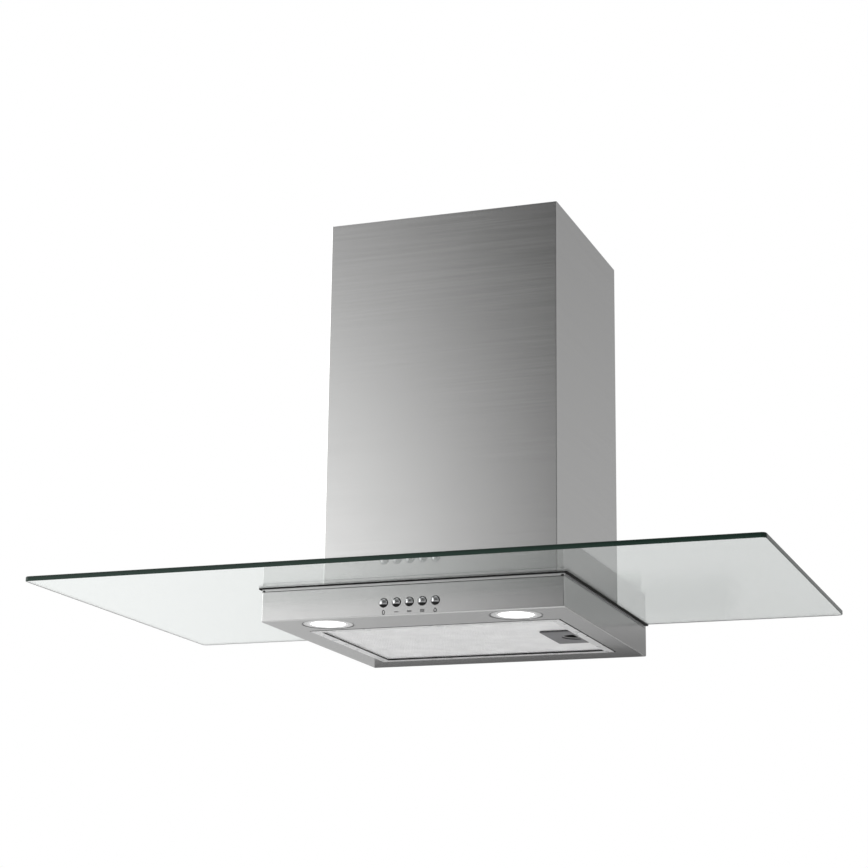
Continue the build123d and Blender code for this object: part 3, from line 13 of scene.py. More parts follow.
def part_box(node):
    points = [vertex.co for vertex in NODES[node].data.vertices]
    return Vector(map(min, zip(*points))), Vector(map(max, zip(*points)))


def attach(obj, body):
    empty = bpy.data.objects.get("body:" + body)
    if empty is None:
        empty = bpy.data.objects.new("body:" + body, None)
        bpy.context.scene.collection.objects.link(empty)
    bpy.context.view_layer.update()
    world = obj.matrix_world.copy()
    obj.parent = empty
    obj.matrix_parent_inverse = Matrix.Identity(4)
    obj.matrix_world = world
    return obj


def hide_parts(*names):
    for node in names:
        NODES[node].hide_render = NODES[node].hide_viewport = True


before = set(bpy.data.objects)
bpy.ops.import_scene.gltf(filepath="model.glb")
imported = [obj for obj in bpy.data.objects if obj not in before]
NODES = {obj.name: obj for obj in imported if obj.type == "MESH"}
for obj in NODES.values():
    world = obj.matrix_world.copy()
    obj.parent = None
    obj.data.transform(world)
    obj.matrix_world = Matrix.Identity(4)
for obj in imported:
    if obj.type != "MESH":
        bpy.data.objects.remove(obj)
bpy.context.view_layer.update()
MM = 0.001

# ---------------------------------------------------------------- camera
VIEW_POINT = Vector((0.883, -2.750, -0.4445))
VIEW_YAW = math.radians(19.82)
VIEW_PITCH = math.radians(14.74)
VIEW_ROLL = math.radians(0.70)
LENS = 89.97
SENSOR_WIDTH = 36.0
VIEW_DEPTH = 60.0


def make_camera():
    forward = Vector(
        (
            -math.sin(VIEW_YAW) * math.cos(VIEW_PITCH),
            math.cos(VIEW_YAW) * math.cos(VIEW_PITCH),
            math.sin(VIEW_PITCH),
        )
    )
    level = Vector((math.cos(VIEW_YAW), math.sin(VIEW_YAW), 0))
    upright = level.cross(forward)
    right = math.cos(VIEW_ROLL) * level + math.sin(VIEW_ROLL) * upright
    up = -math.sin(VIEW_ROLL) * level + math.cos(VIEW_ROLL) * upright
    data = bpy.data.cameras.new("camera")
    data.lens = LENS
    data.sensor_width = SENSOR_WIDTH
    data.clip_end = VIEW_DEPTH
    camera = bpy.data.objects.new("camera", data)
    turn = Matrix((right, up, -forward)).transposed()
    camera.matrix_world = Matrix.Translation(VIEW_POINT) @ turn.to_4x4()
    bpy.context.scene.collection.objects.link(camera)
    bpy.context.scene.camera = camera


# ---------------------------------------------------------------- node helpers
# a noise's values lie mostly between these two
NOISE_LOW = 0.3
NOISE_HIGH = 0.7


def wire(tree, socket, value):
    """Links another node's output to a socket, or sets the socket to a plain value."""
    if isinstance(value, bpy.types.NodeSocket):
        tree.links.new(value, socket)
    else:
        socket.default_value = value


def feed(tree, node, sockets):
    for key, value in sockets.items():
        wire(tree, node.inputs[key], value)
    return node


def put(tree, kind, sockets=None, **settings):
    node = tree.nodes.new("ShaderNode" + kind)
    for key, value in settings.items():
        setattr(node, key, value)
    return feed(tree, node, sockets or {})


def maths(tree, operation, a, b=None):
    node = put(tree, "Math", {0: a}, operation=operation)
    if b is not None:
        wire(tree, node.inputs[1], b)
    return node.outputs[0]


def product(tree, first, *others):
    for other in others:
        first = maths(tree, "MULTIPLY", first, other)
    return first


def total(tree, first, *others):
    for other in others:
        first = maths(tree, "ADD", first, other)
    return first


def opposite(tree, factor):
    return maths(tree, "SUBTRACT", 1.0, factor)


def weighed(tree, a, b, share):
    """Weighted mean of two values, in which the first has this share."""
    return total(tree, product(tree, a, share), product(tree, b, 1.0 - share))


def vector_maths(tree, operation, a, b):
    return put(tree, "VectorMath", {0: a, 1: b}, operation=operation).outputs[0]


def scaled(tree, vector, factors):
    return vector_maths(tree, "MULTIPLY", vector, factors)


def blend(tree, factor, a, b):
    return put(tree, "Mix", {0: factor, 6: a, 7: b}, data_type="RGBA").outputs[2]


def remap(tree, value, start, end, before, after, smooth=True):
    """Ramp that leads from one level, before the start, to another, after the end."""
    kind = "SMOOTHSTEP" if smooth else "LINEAR"
    sockets = {0: value, 1: start, 2: end, 3: before, 4: after}
    return put(tree, "MapRange", sockets, interpolation_type=kind).outputs[0]


def spread(tree, value, low, high):
    """Carries a noise's usual range to two levels."""
    return remap(tree, value, NOISE_LOW, NOISE_HIGH, low, high)


def shaped(tree, measures, ramps):
    """Product of ramps, each over a named measure: its start and end, level before and after."""
    return product(tree, *[remap(tree, measures[key], *ramp) for key, *ramp in ramps])


def between(tree, value, low, high):
    above = maths(tree, "GREATER_THAN", value, low)
    return product(tree, above, maths(tree, "LESS_THAN", value, high))


def noise(tree, vector, scale=1.0, detail=3.0, roughness=0.55):
    sockets = {"Vector": vector, "Scale": scale, "Detail": detail, "Roughness": roughness}
    return put(tree, "TexNoise", sockets).outputs["Fac"]


def place(tree):
    return put(tree, "TexCoord").outputs["Object"]


def parts_of(tree, vector):
    return put(tree, "SeparateXYZ", {0: vector}).outputs


def normal_parts(tree, kind="Normal"):
    return parts_of(tree, put(tree, "NewGeometry").outputs[kind])


def bumped(tree, height, distance, strength=0.4):
    sockets = {"Height": height, "Distance": distance, "Strength": strength}
    return put(tree, "Bump", sockets).outputs[0]


def even_colour(tree, level):
    return put(tree, "CombineColor", {0: level, 1: level, 2: level}).outputs[0]


def grey(value):
    return (value, value, value, 1.0)


def shades(tone, contrast):
    """A tone made a little darker and a little lighter."""
    dark = tuple(part * (1 - contrast) for part in tone)
    light = tuple(min(part * (1 + contrast), 1.0) for part in tone)
    return (*dark, 1.0), (*light, 1.0)


def surface(name):
    mat = bpy.data.materials.new(name)
    mat.use_nodes = True
    tree = mat.node_tree
    return mat, tree, tree.nodes["Principled BSDF"]


def show(tree, surface_shader):
    wire(tree, tree.nodes["Material Output"].inputs["Surface"], surface_shader.outputs[0])


# ---------------------------------------------------------------- finishes
STEEL_ROUGHNESS = 0.17
STEEL_CONTRAST = 0.025
STEEL_SMUDGE = 0.02
ROUGHNESS_DRIFT = 0.03
GRAIN_ALONG = 5.0
GRAIN_ACROSS = 1300.0
BAND_STRETCH = (1.7, 0.21, 0.21)
ALONG_Y = (0.0, 1.0, 0.0, 1.0)
ALONG_Z = (0.0, 0.0, 1.0, 1.0)
# a face turns from upright to flat as the z of its normal goes from one to the other
FLAT_NORMAL = (0.6, 0.8)
# painted shade along a joint between two sheets: its reach, strength and tone
SEAM_REACH = (0.25 * MM, 0.75 * MM)
SEAM_SHADE_LEVEL = 0.85
SEAM_TONE = 0.06
# tone of the painted shade in gaps and recesses
GAP_TONE = 0.004
CHROME_TONES = ((0.34, 0.34, 0.345, 1), (0.40, 0.40, 0.405, 1))
# the button's painted shade, round its rim and under it, fades out as the size of the normal's y,
# or its z, goes from one to the other
BUTTON_SHADE_RIM = (0.56, 0.66)
BUTTON_SHADE_UNDER = (-0.46, -0.28)
BUTTON_SHADE_TONE = 0.02
GLASS_IOR = 1.5
GLASS_TONES = ((0.95, 0.955, 0.95, 1), (0.965, 0.97, 0.967, 1))
# the edge's own deep green, darker at the top than at the bottom: painted shade
GLASS_EDGE_TOP = ((0.004, 0.009, 0.007, 1), (0.008, 0.016, 0.012, 1))
GLASS_EDGE_BOTTOM = ((0.010, 0.023, 0.017, 1), (0.016, 0.032, 0.025, 1))
GLASS_BODY_TINT = (0.10, 0.42, 0.30, 1)
GLASS_BODY_DENSITY = 10.0
# a face of the glass is a side where its normal's z is under this
GLASS_SIDE = 0.9
# the painted light on a lamp ring fades out between these shares of its radius
RING_BRIGHT = (0.68, 0.86)
# the dark line of painted shade starts and ends this far in from the ring's rim
RING_GAP = (2.0 * MM, 1.3 * MM)
LAMP_GLOW = 2.2


def brushed_steel(name, tone, seam=None, metallic=1.0):
    """Stainless sheet: grain runs level on upright faces and along X underneath.

    A seam is the height of a joint between two sheets, where upright faces hold a dark line of
    painted shade.
    """
    mat, tree, shader = surface(name)
    spot = place(tree)
    flat = remap(tree, maths(tree, "ABSOLUTE", normal_parts(tree)[2]), *FLAT_NORMAL, 0.0, 1.0)
    level_grain = (GRAIN_ALONG, GRAIN_ALONG, GRAIN_ACROSS, 1.0)
    flat_grain = (GRAIN_ALONG, GRAIN_ACROSS, GRAIN_ALONG, 1.0)
    stretch = blend(tree, flat, level_grain, flat_grain)
    grain = noise(tree, scaled(tree, spot, stretch), detail=4.0, roughness=0.6)
    wide = scaled(tree, stretch, BAND_STRETCH)
    band = noise(tree, scaled(tree, spot, wide), detail=2.0, roughness=0.5)
    cloud = noise(tree, spot, scale=9.0, detail=4.0, roughness=0.6)
    streaks = weighed(tree, grain, band, share=0.72)
    colour = blend(tree, spread(tree, streaks, 0, 1), *shades(tone, STEEL_CONTRAST))
    if seam is not None:
        # painted shade: upright faces darken close to the seam's height
        away = maths(tree, "ABSOLUTE", maths(tree, "SUBTRACT", parts_of(tree, spot)[2], seam))
        seam_shade = remap(tree, away, *SEAM_REACH, SEAM_SHADE_LEVEL, 0.0)
        seam_shade = product(tree, seam_shade, opposite(tree, flat))
        colour = blend(tree, seam_shade, colour, grey(SEAM_TONE))
    rough = spread(
        tree, streaks, STEEL_ROUGHNESS - ROUGHNESS_DRIFT, STEEL_ROUGHNESS + ROUGHNESS_DRIFT
    )
    finish = {
        "Base Color": colour,
        "Metallic": metallic,
        "Roughness": total(tree, rough, remap(tree, cloud, 0.45, 0.75, 0.0, STEEL_SMUDGE)),
        "Anisotropic": 0.7,
        "Specular Tint": grey(0.78),
        "Tangent": blend(tree, flat, ALONG_Z, ALONG_Y),
        "Normal": bumped(tree, grain, 0.02 * MM, strength=0.2),
    }
    feed(tree, shader, finish)
    return mat


def polished_chrome(name):
    """Chromed dome of a button, with painted shade all round its rim and lower half."""
    mat, tree, shader = surface(name)
    haze = noise(tree, place(tree), scale=160.0, detail=4.0, roughness=0.6)
    normal = normal_parts(tree)
    rim = remap(tree, maths(tree, "ABSOLUTE", normal[1]), *BUTTON_SHADE_RIM, 1.0, 0.0)
    under = remap(tree, normal[2], *BUTTON_SHADE_UNDER, 1.0, 0.0)
    # painted shade: the chrome turns into a dark non-metal round the rim and on downward faces
    button_shade = maths(tree, "MAXIMUM", rim, under)
    chrome = blend(tree, haze, *CHROME_TONES)
    finish = {
        "Base Color": blend(tree, button_shade, chrome, grey(BUTTON_SHADE_TONE)),
        "Metallic": opposite(tree, button_shade),
        "Specular IOR Level": 0.0,
        "Roughness": remap(tree, haze, 0.35, 0.75, 0.03, 0.10),
    }
    feed(tree, shader, finish)
    return mat


def galvanised(name):
    """Zinc-coated sheet with its spangle of crystals."""
    mat, tree, shader = surface(name)
    spot = place(tree)
    ripple = put(tree, "TexNoise", {"Vector": spot, "Scale": 60.0}).outputs["Color"]
    warped = vector_maths(tree, "ADD", spot, scaled(tree, ripple, (6 * MM,) * 3))
    crystal = put(tree, "TexVoronoi", {"Vector": warped, "Scale": 120.0}, feature="F1")
    tint = put(tree, "SeparateColor", {0: crystal.outputs["Color"]}).outputs[0]
    shade = weighed(tree, tint, noise(tree, spot, scale=700.0), share=0.8)
    finish = {
        "Base Color": blend(tree, shade, (0.42, 0.44, 0.46, 1), (0.66, 0.68, 0.69, 1)),
        "Metallic": 1.0,
        "Roughness": remap(tree, shade, 0.0, 1.0, 0.28, 0.46),
        "Normal": bumped(tree, shade, 0.05 * MM),
    }
    feed(tree, shader, finish)
    return mat


def turned_steel(name):
    """Motor can and shafts: fine turned rings about the X axis."""
    mat, tree, shader = surface(name)
    spot = place(tree)
    rings = noise(tree, scaled(tree, spot, (1800.0, 14.0, 14.0)))
    shade = weighed(tree, rings, noise(tree, spot, scale=40.0, detail=4.0), share=0.6)
    tones = (0.40, 0.40, 0.41, 1), (0.58, 0.58, 0.59, 1)
    finish = {
        "Base Color": blend(tree, spread(tree, shade, 0, 1), *tones),
        "Metallic": 1.0,
        "Roughness": spread(tree, shade, 0.28, 0.42),
        "Normal": bumped(tree, rings, 0.04 * MM),
    }
    feed(tree, shader, finish)
    return mat


def clear_glass(name):
    """Float glass: clear through its faces, deep green along the polished edge, with painted shade
    darkening the edge towards its top.
    """
    mat, tree, shader = surface(name)
    spot = place(tree)
    haze = noise(tree, spot, scale=6.0, detail=5.0, roughness=0.65)
    faces = {
        "Base Color": blend(tree, haze, *GLASS_TONES),
        "Transmission Weight": 1.0,
        "IOR": GLASS_IOR,
        "Roughness": 0.0,
    }
    feed(tree, shader, faces)
    low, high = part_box("glass_panel")
    # painted shade: the edge darkens from its bottom to its top
    rise = remap(tree, parts_of(tree, spot)[2], low.z, high.z, 0.0, 1.0, smooth=False)
    ripple = noise(tree, scaled(tree, spot, (40.0, 40.0, 500.0)))
    bottom = blend(tree, ripple, *GLASS_EDGE_BOTTOM)
    top = blend(tree, ripple, *GLASS_EDGE_TOP)
    edge = put(tree, "BsdfPrincipled", {"Base Color": blend(tree, rise, bottom, top)})
    feed(tree, edge, {"Roughness": 0.12, "IOR": GLASS_IOR, "Specular IOR Level": 0.15})
    tilt = maths(tree, "ABSOLUTE", normal_parts(tree, "True Normal")[2])
    side = maths(tree, "LESS_THAN", tilt, GLASS_SIDE)
    show(tree, put(tree, "MixShader", {0: side, 1: shader.outputs[0], 2: edge.outputs[0]}))
    volume = put(tree, "VolumeAbsorption")
    feed(tree, volume, {"Color": GLASS_BODY_TINT, "Density": GLASS_BODY_DENSITY})
    wire(tree, tree.nodes["Material Output"].inputs["Volume"], volume.outputs[0])
    return mat


def rubber(name):
    """Black seal with a fine grain and a faint bloom."""
    mat, tree, shader = surface(name)
    spot = place(tree)
    grain = noise(tree, spot, scale=900.0, detail=4.0, roughness=0.6)
    bloom = remap(tree, noise(tree, spot, scale=45.0), 0.4, 0.8, 0, 1)
    finish = {
        "Base Color": blend(tree, bloom, grey(0.004), grey(0.014)),
        "Specular IOR Level": 0.2,
        "Roughness": spread(tree, grain, 0.6, 0.8),
        "Normal": bumped(tree, grain, 0.08 * MM, strength=0.5),
    }
    feed(tree, shader, finish)
    return mat


def moulded(name, tone, roughness=0.50, relief=0.06 * MM, scale=1400.0):
    """Moulded plastic: spark-eroded fine texture, faint flow marks and slight colour drift."""
    mat, tree, shader = surface(name)
    spot = place(tree)
    pits = noise(tree, spot, scale, roughness=0.6)
    flow = noise(tree, scaled(tree, spot, (14.0, 14.0, 30.0)))
    finish = {
        "Base Color": blend(tree, spread(tree, flow, 0, 1), *shades(tone, contrast=0.12)),
        "Roughness": spread(tree, pits, roughness - 0.07, roughness + 0.07),
        "Normal": bumped(tree, pits, relief, strength=0.5),
    }
    feed(tree, shader, finish)
    return mat


def lamp_ring_steel(name, node):
    """Spun ring round a lamp: painted light makes it bright beside the lens, and a dark line of
    painted shade runs round its rim.
    """
    mat, tree, shader = surface(name)
    low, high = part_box(node)
    outer = (high.x - low.x) / 2
    offset = vector_maths(tree, "SUBTRACT", place(tree), tuple((low + high) / 2))
    level = scaled(tree, offset, (1, 1, 0))
    radius = put(tree, "VectorMath", {0: level}, operation="LENGTH").outputs["Value"]
    turned = noise(tree, put(tree, "CombineXYZ", {0: radius}).outputs[0], scale=2600.0, detail=2.0)
    # painted light from the lamp, brightest beside the lens
    lit = remap(tree, radius, *[outer * share for share in RING_BRIGHT], 1.0, 0.0)
    spun = blend(tree, lit, blend(tree, turned, grey(0.56), grey(0.66)), grey(0.88))
    # painted shade in the gap round the ring's rim
    gap = remap(tree, radius, *[outer - inset for inset in RING_GAP], 0.0, 1.0)
    finish = {
        "Base Color": blend(tree, gap, spun, grey(0.01)),
        "Metallic": remap(tree, lit, 0.0, 1.0, 1.0, 0.35),
        "Roughness": spread(tree, turned, 0.22, 0.30),
    }
    feed(tree, shader, finish)
    return mat


def satin_aluminium(name, tone, roughness, metallic=1.0):
    """Drawn aluminium: level grain with a few stains."""
    mat, tree, shader = surface(name)
    spot = place(tree)
    grain = noise(tree, scaled(tree, spot, (30.0, 30.0, 900.0)))
    stain = noise(tree, spot, scale=55.0, detail=4.0, roughness=0.6)
    shade = spread(tree, weighed(tree, grain, stain, share=0.5), 0, 1)
    finish = {
        "Base Color": blend(tree, shade, *shades(tone, contrast=0.07)),
        "Metallic": metallic,
        "Roughness": spread(tree, stain, roughness - 0.05, roughness + 0.05),
        "Normal": bumped(tree, grain, 0.03 * MM),
    }
    feed(tree, shader, finish)
    return mat


def frosted_lamp(name):
    """Sand-blasted lens of a lamp that is switched on."""
    mat, tree, shader = surface(name)
    spot = place(tree)
    frost = noise(tree, spot, scale=1500.0, roughness=0.6)
    glow = (1.0, 0.985, 0.95, 1), (1.0, 0.995, 0.975, 1)
    finish = {
        "Base Color": blend(tree, frost, grey(0.90), grey(0.97)),
        "Roughness": spread(tree, frost, 0.35, 0.55),
        "Emission Color": blend(tree, noise(tree, spot, scale=60.0), *glow),
        "Emission Strength": LAMP_GLOW,
        "Normal": bumped(tree, frost, 0.04 * MM),
    }
    feed(tree, shader, finish)
    return mat


def lamp_glass(name):
    """Glass of a capsule bulb, with a thin film of dust."""
    mat, tree, shader = surface(name)
    film = noise(tree, place(tree), scale=220.0, detail=4.0)
    finish = {
        "Base Color": blend(tree, film, (0.93, 0.93, 0.90, 1), grey(1.0)),
        "Transmission Weight": 0.85,
        "Roughness": remap(tree, film, 0.4, 0.8, 0.03, 0.18),
    }
    feed(tree, shader, finish)
    return mat


def zinc_plate(name):
    """Bright zinc on screws, bolts and nuts, with a faint passivated tint."""
    mat, tree, shader = surface(name)
    spot = place(tree)
    tint = remap(tree, noise(tree, spot, scale=260.0), 0.35, 0.65, 0, 1)
    fine = noise(tree, spot, scale=2400.0)
    finish = {
        "Base Color": blend(tree, tint, (0.62, 0.65, 0.70, 1), (0.76, 0.74, 0.64, 1)),
        "Metallic": 1.0,
        "Roughness": spread(tree, fine, 0.20, 0.36),
        "Normal": bumped(tree, fine, 0.02 * MM),
    }
    feed(tree, shader, finish)
    return mat


def printed_ink(name):
    """Screen-printed ink of the switch marks."""
    mat, tree, shader = surface(name)
    dots = noise(tree, place(tree), scale=3000.0)
    finish = {
        "Base Color": blend(tree, dots, grey(0.008), grey(0.020)),
        "Roughness": spread(tree, dots, 0.45, 0.6),
    }
    feed(tree, shader, finish)
    return mat


def blacken(mat, inside):
    """Blackens a finish where a factor is 1, as painted shade in a gap or recess."""
    tree = mat.node_tree
    colour = tree.nodes["Principled BSDF"].inputs["Base Color"]
    wire(tree, colour, blend(tree, inside, colour.links[0].from_socket, grey(GAP_TONE)))
    return mat


def dark_inside(mat, low, high):
    """Blackens a finish inside a box of the row frame, as painted shade."""
    tree = mat.node_tree
    sides = zip(parts_of(tree, place(tree)), low, high)
    return blacken(mat, product(tree, *[between(tree, *side) for side in sides]))


def dark_above(mat, height):
    """Blackens a finish above a height, as painted shade."""
    tree = mat.node_tree
    return blacken(mat, maths(tree, "GREATER_THAN", parts_of(tree, place(tree))[2], height))


def dark_sides(mat, low, high):
    """Blackens the upright faces of a finish between two heights, as painted shade."""
    tree = mat.node_tree
    inside = between(tree, parts_of(tree, place(tree))[2], low, high)
    tilt = maths(tree, "ABSOLUTE", normal_parts(tree)[2])
    upright = maths(tree, "LESS_THAN", tilt, FLAT_NORMAL[0])
    return blacken(mat, product(tree, inside, upright))


FINISHES = {
    "stainless_steel": brushed_steel("stainless_steel", (0.64, 0.64, 0.635)),
    "polished_chrome": polished_chrome("polished_chrome"),
    "galvanised_steel": galvanised("galvanised_steel"),
    "motor_steel": turned_steel("motor_steel"),
    "canopy_glass": clear_glass("canopy_glass"),
    "black_rubber": rubber("black_rubber"),
    "grey_plastic": moulded("grey_plastic", (0.30, 0.31, 0.32)),
    "black_plastic": moulded("black_plastic", (0.030, 0.030, 0.033), roughness=0.48),
    "white_plastic": moulded(
        "white_plastic", (0.80, 0.80, 0.77), roughness=0.30, relief=0.02 * MM, scale=500.0
    ),
    "latch_plastic": moulded("latch_plastic", (0.10, 0.10, 0.105)),
    "bare_aluminium": satin_aluminium("bare_aluminium", (0.70, 0.70, 0.71), 0.32),
    "reflector_aluminium": satin_aluminium("reflector_aluminium", (0.86, 0.86, 0.86), 0.12),
    "frosted_glass": frosted_lamp("frosted_glass"),
    "bulb_glass": lamp_glass("bulb_glass"),
    "filter_mesh": satin_aluminium("filter_mesh", (0.82, 0.82, 0.82), 0.34, metallic=0.15),
    "plated_fasteners": zinc_plate("plated_fasteners"),
}

# the filter's opening in the body, and how far the painted shade of its gap reaches
FRAME_LOW, FRAME_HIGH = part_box("filter_frame")
HEM = 2.2 * MM
BODY_FACE = 0.15 * MM
BODY_INSIDE = 20 * MM
# heights between which the frame's upright faces hold painted shade
FRAME_GAP = (-0.2 * MM, 4 * MM)
POCKET_ROOF = 1.3 * MM
SLIDE_ROOF = 2.4 * MM
# height where the support plate meets the body, which holds a line of painted shade
JOINT_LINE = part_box("support_plate")[0].z
OWN_FINISHES = {
    # painted shade: the body is blackened inside the filter's opening, where the gap falls into
    # shade
    "canopy_shell": dark_inside(
        brushed_steel("body_steel", (0.50, 0.50, 0.497), JOINT_LINE),
        (FRAME_LOW.x - HEM, FRAME_LOW.y - HEM, BODY_FACE),
        (FRAME_HIGH.x + HEM, FRAME_HIGH.y + HEM, BODY_INSIDE),
    ),
    "support_plate": brushed_steel("plate_steel", (0.52, 0.52, 0.517), JOINT_LINE, metallic=0.5),
    # painted shade: the latch pocket and slide are blackened above their roof heights; the slide's
    # lighter grey below is a painted highlight on the pull's rim
    "latch_plate": dark_above(moulded("latch_pocket_plastic", (0.10, 0.10, 0.105)), POCKET_ROOF),
    "latch_slide": dark_above(moulded("latch_slide_plastic", (0.38, 0.38, 0.38)), SLIDE_ROOF),
    # painted shade: the frame's upright faces are blackened in the gap round the filter
    "filter_frame": dark_sides(
        satin_aluminium("frame_aluminium", (0.60, 0.60, 0.60), 0.30, metallic=0.35), *FRAME_GAP
    ),
    "lamp_ring_left": lamp_ring_steel("lamp_ring_left_steel", "lamp_ring_left"),
    "lamp_ring_right": lamp_ring_steel("lamp_ring_right_steel", "lamp_ring_right"),
}


def dress_nodes():
    for name, node in NODES.items():
        for index, slot in enumerate(list(node.data.materials)):
            finish = OWN_FINISHES.get(name) or FINISHES[slot.name.split(".")[0]]
            node.data.materials[index] = finish


# ---------------------------------------------------------------- pieces
BUTTONS = ("off", "speed_1", "speed_2", "speed_3", "lamp")


def add_piece(name, mesh, slot, body, finish=None, smooth=False):
    mesh.name = name
    if smooth:
        for polygon in mesh.polygons:
            polygon.use_smooth = True
    mesh.materials.clear()
    mesh.materials.append(finish or FINISHES[slot])
    piece = bpy.data.objects.new(name, mesh)
    bpy.context.scene.collection.objects.link(piece)
    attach(piece, body)
    return piece


def mesh_of(vertices, faces, name="mesh"):
    mesh = bpy.data.meshes.new(name)
    mesh.from_pydata([tuple(v) for v in vertices], [], faces)
    mesh.validate()
    mesh.update()
    return mesh


def mesh_from(bm, name):
    mesh = bpy.data.meshes.new(name)
    bm.to_mesh(mesh)
    bm.free()
    return mesh


def join_parts(parts):
    vertices, faces = [], []
    for points, polygons in parts:
        base = len(vertices)
        vertices += points
        faces += [tuple(base + k for k in polygon) for polygon in polygons]
    return vertices, faces


# expanded metal: each strand is a flat ribbon turned on edge, running in zigzags
CELL_X = 3.2 * MM
CELL_Y = 6.0 * MM
STRAND = 0.62 * MM
STRAND_DEPTH = 0.55 * MM
STRAND_LEAN = 0.6
STRAND_RISE = 0.16 * MM
MESH_INSET = 10.4 * MM
HINGE_TAB = 5 * MM
LATCH_GAP = 0.4 * MM


def sweep_ribbon(run, vertices, faces, middle):
    """Sweeps the ribbon's four-sided section along one zigzag."""
    if len(run) < 2:
        return
    start = len(vertices)
    for x, y, side in run:
        lean = side * STRAND_DEPTH / 2 * STRAND_LEAN
        for across, up in ((-1, 0), (0, -1), (1, 0), (0, 1)):
            height = middle + across * lean + up * STRAND_RISE
            vertices.append((x + across * STRAND / 2, y, height))
    for k in range(len(run) - 1):
        a = start + 4 * k
        for c in range(4):
            d = (c + 1) % 4
            faces.append((a + c, a + d, a + 4 + d, a + 4 + c))
    last = start + 4 * (len(run) - 1)
    faces.append((start + 3, start + 2, start + 1, start))
    faces.append((last, last + 1, last + 2, last + 3))


def expanded_mesh(name, node, hole=None):
    """Lays expanded metal over the filter's opening, apart from a hole given as its box."""
    low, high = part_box(node)
    middle = (low.z + high.z) / 2
    left, right = FRAME_LOW.x + HINGE_TAB + MESH_INSET, FRAME_HIGH.x - MESH_INSET
    front, back = FRAME_LOW.y + MESH_INSET, FRAME_HIGH.y - MESH_INSET
    columns = int((right - left) / CELL_X)
    rows = int((back - front) / CELL_Y)
    step_x = (right - left) / columns
    step_y = (back - front) / rows
    vertices, faces = [], []
    for i in range(columns):
        run = []
        # the zigzags run front to back, and each knot touches the next zigzag's
        for j in range(2 * rows + 1):
            side = 1 if (i + j) % 2 else -1
            x = left + (i + 0.5) * step_x + side * step_x / 2
            y = front + j * step_y / 2
            if hole and hole[0].x < x < hole[1].x and hole[0].y < y < hole[1].y:
                sweep_ribbon(run, vertices, faces, middle)
                run = []
            else:
                run.append((x - side * STRAND / 2, y, side))
        sweep_ribbon(run, vertices, faces, middle)
    piece = add_piece(name, mesh_of(vertices, faces), "filter_mesh", "grease_filter")
    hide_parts(node)


def filter_meshes():
    """The face mesh leaves room for the latch plate, and the back mesh runs right across."""
    low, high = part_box("latch_plate")
    room = Vector((LATCH_GAP,) * 3)
    expanded_mesh("filter_face_expanded_metal", "filter_face_mesh", (low - room, high + room))
    expanded_mesh("filter_back_expanded_metal", "filter_back_mesh")


# switch marks: an oval, one to three bars and a drop
MARK_THICKNESS = 0.05 * MM
MARK_LIFT = 0.02 * MM
MARK_DROP = 6.1 * MM
RING_SIZE = (3.6 * MM, 6.2 * MM)
RING_HOLE = (1.6 * MM, 4.2 * MM)
DROP_SIZE = (4.4 * MM, 5.6 * MM, 0.6)
DROP_HOLE = (2.4 * MM, 3.2 * MM, 0.6)
BAR_SIZE = (5.4 * MM, 0.8 * MM)
BAR_PITCH = 1.35 * MM


def oval(width, height, point=0.0, count=24):
    """Oval outline, whose upper half narrows by the share given as its point."""
    loop = []
    for k in range(count):
        angle = 2 * math.pi * k / count
        u = width / 2 * math.sin(angle)
        v = height / 2 * math.cos(angle)
        if v > 0 and point:
            u *= 1 - point * v / (height / 2)
        loop.append((u, v))
    return loop


def rectangle(width, height, lift):
    return [
        (-width / 2, lift - height / 2),
        (-width / 2, lift + height / 2),
        (width / 2, lift + height / 2),
        (width / 2, lift - height / 2),
    ]


def prism(origin, outline, hole=None):
    """A thin upright mark on the front face: an outline, perhaps with a hole, in X and Z."""
    vertices, faces = [], []
    count = len(outline)
    for depth in (0.0, -MARK_THICKNESS):
        for loop in (outline, hole) if hole else (outline,):
            vertices += [(origin[0] + u, origin[1] + depth, origin[2] + v) for u, v in loop]
    layer = count * (2 if hole else 1)
    if not hole:
        faces.append(tuple(range(layer, 2 * layer)))
        faces.append(tuple(reversed(range(layer))))
    for k in range(count):
        n = (k + 1) % count
        if hole:
            faces.append((layer + k, layer + n, layer + count + n, layer + count + k))
            faces.append((k, count + k, count + n, n))
        faces.append((k, n, layer + n, layer + k))
        if hole:
            faces.append((count + k, layer + count + k, layer + count + n, count + n))
    return vertices, faces


def printed_marks():
    """Generic switch marks below the five buttons: off, one to three bars, lamp."""
    ink = printed_ink("printed_ink")
    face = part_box("canopy_shell")[0].y - MARK_LIFT
    for index, key in enumerate(BUTTONS):
        low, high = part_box("button_" + key)
        origin = ((low.x + high.x) / 2, face, low.z - MARK_DROP)
        if key == "off":
            parts = [prism(origin, oval(*RING_SIZE), oval(*RING_HOLE))]
        elif key == "lamp":
            parts = [prism(origin, oval(*DROP_SIZE), oval(*DROP_HOLE))]
        else:
            lifts = [(row - (index - 1) / 2) * BAR_PITCH for row in range(index)]
            parts = [prism(origin, rectangle(*BAR_SIZE, lift)) for lift in lifts]
        add_piece("mark_" + key, mesh_of(*join_parts(parts)), "black_plastic", "hood", ink)


# rows of dark dashes by the mesh's cut ends: painted shade in the open diamonds that the frame's
# lip and the latch plate shade
DASH_THICKNESS = 0.05 * MM
DASH_LIFT = 0.01 * MM
BACK_DASH = (1.7 * MM, 5.0 * MM)
BACK_PITCH = 2.9 * MM
BACK_INSET = 13.6 * MM
FRAME_STRIP = 11 * MM
LATCH_DASH_DEPTH = 7.0 * MM
LATCH_DASHES = 13


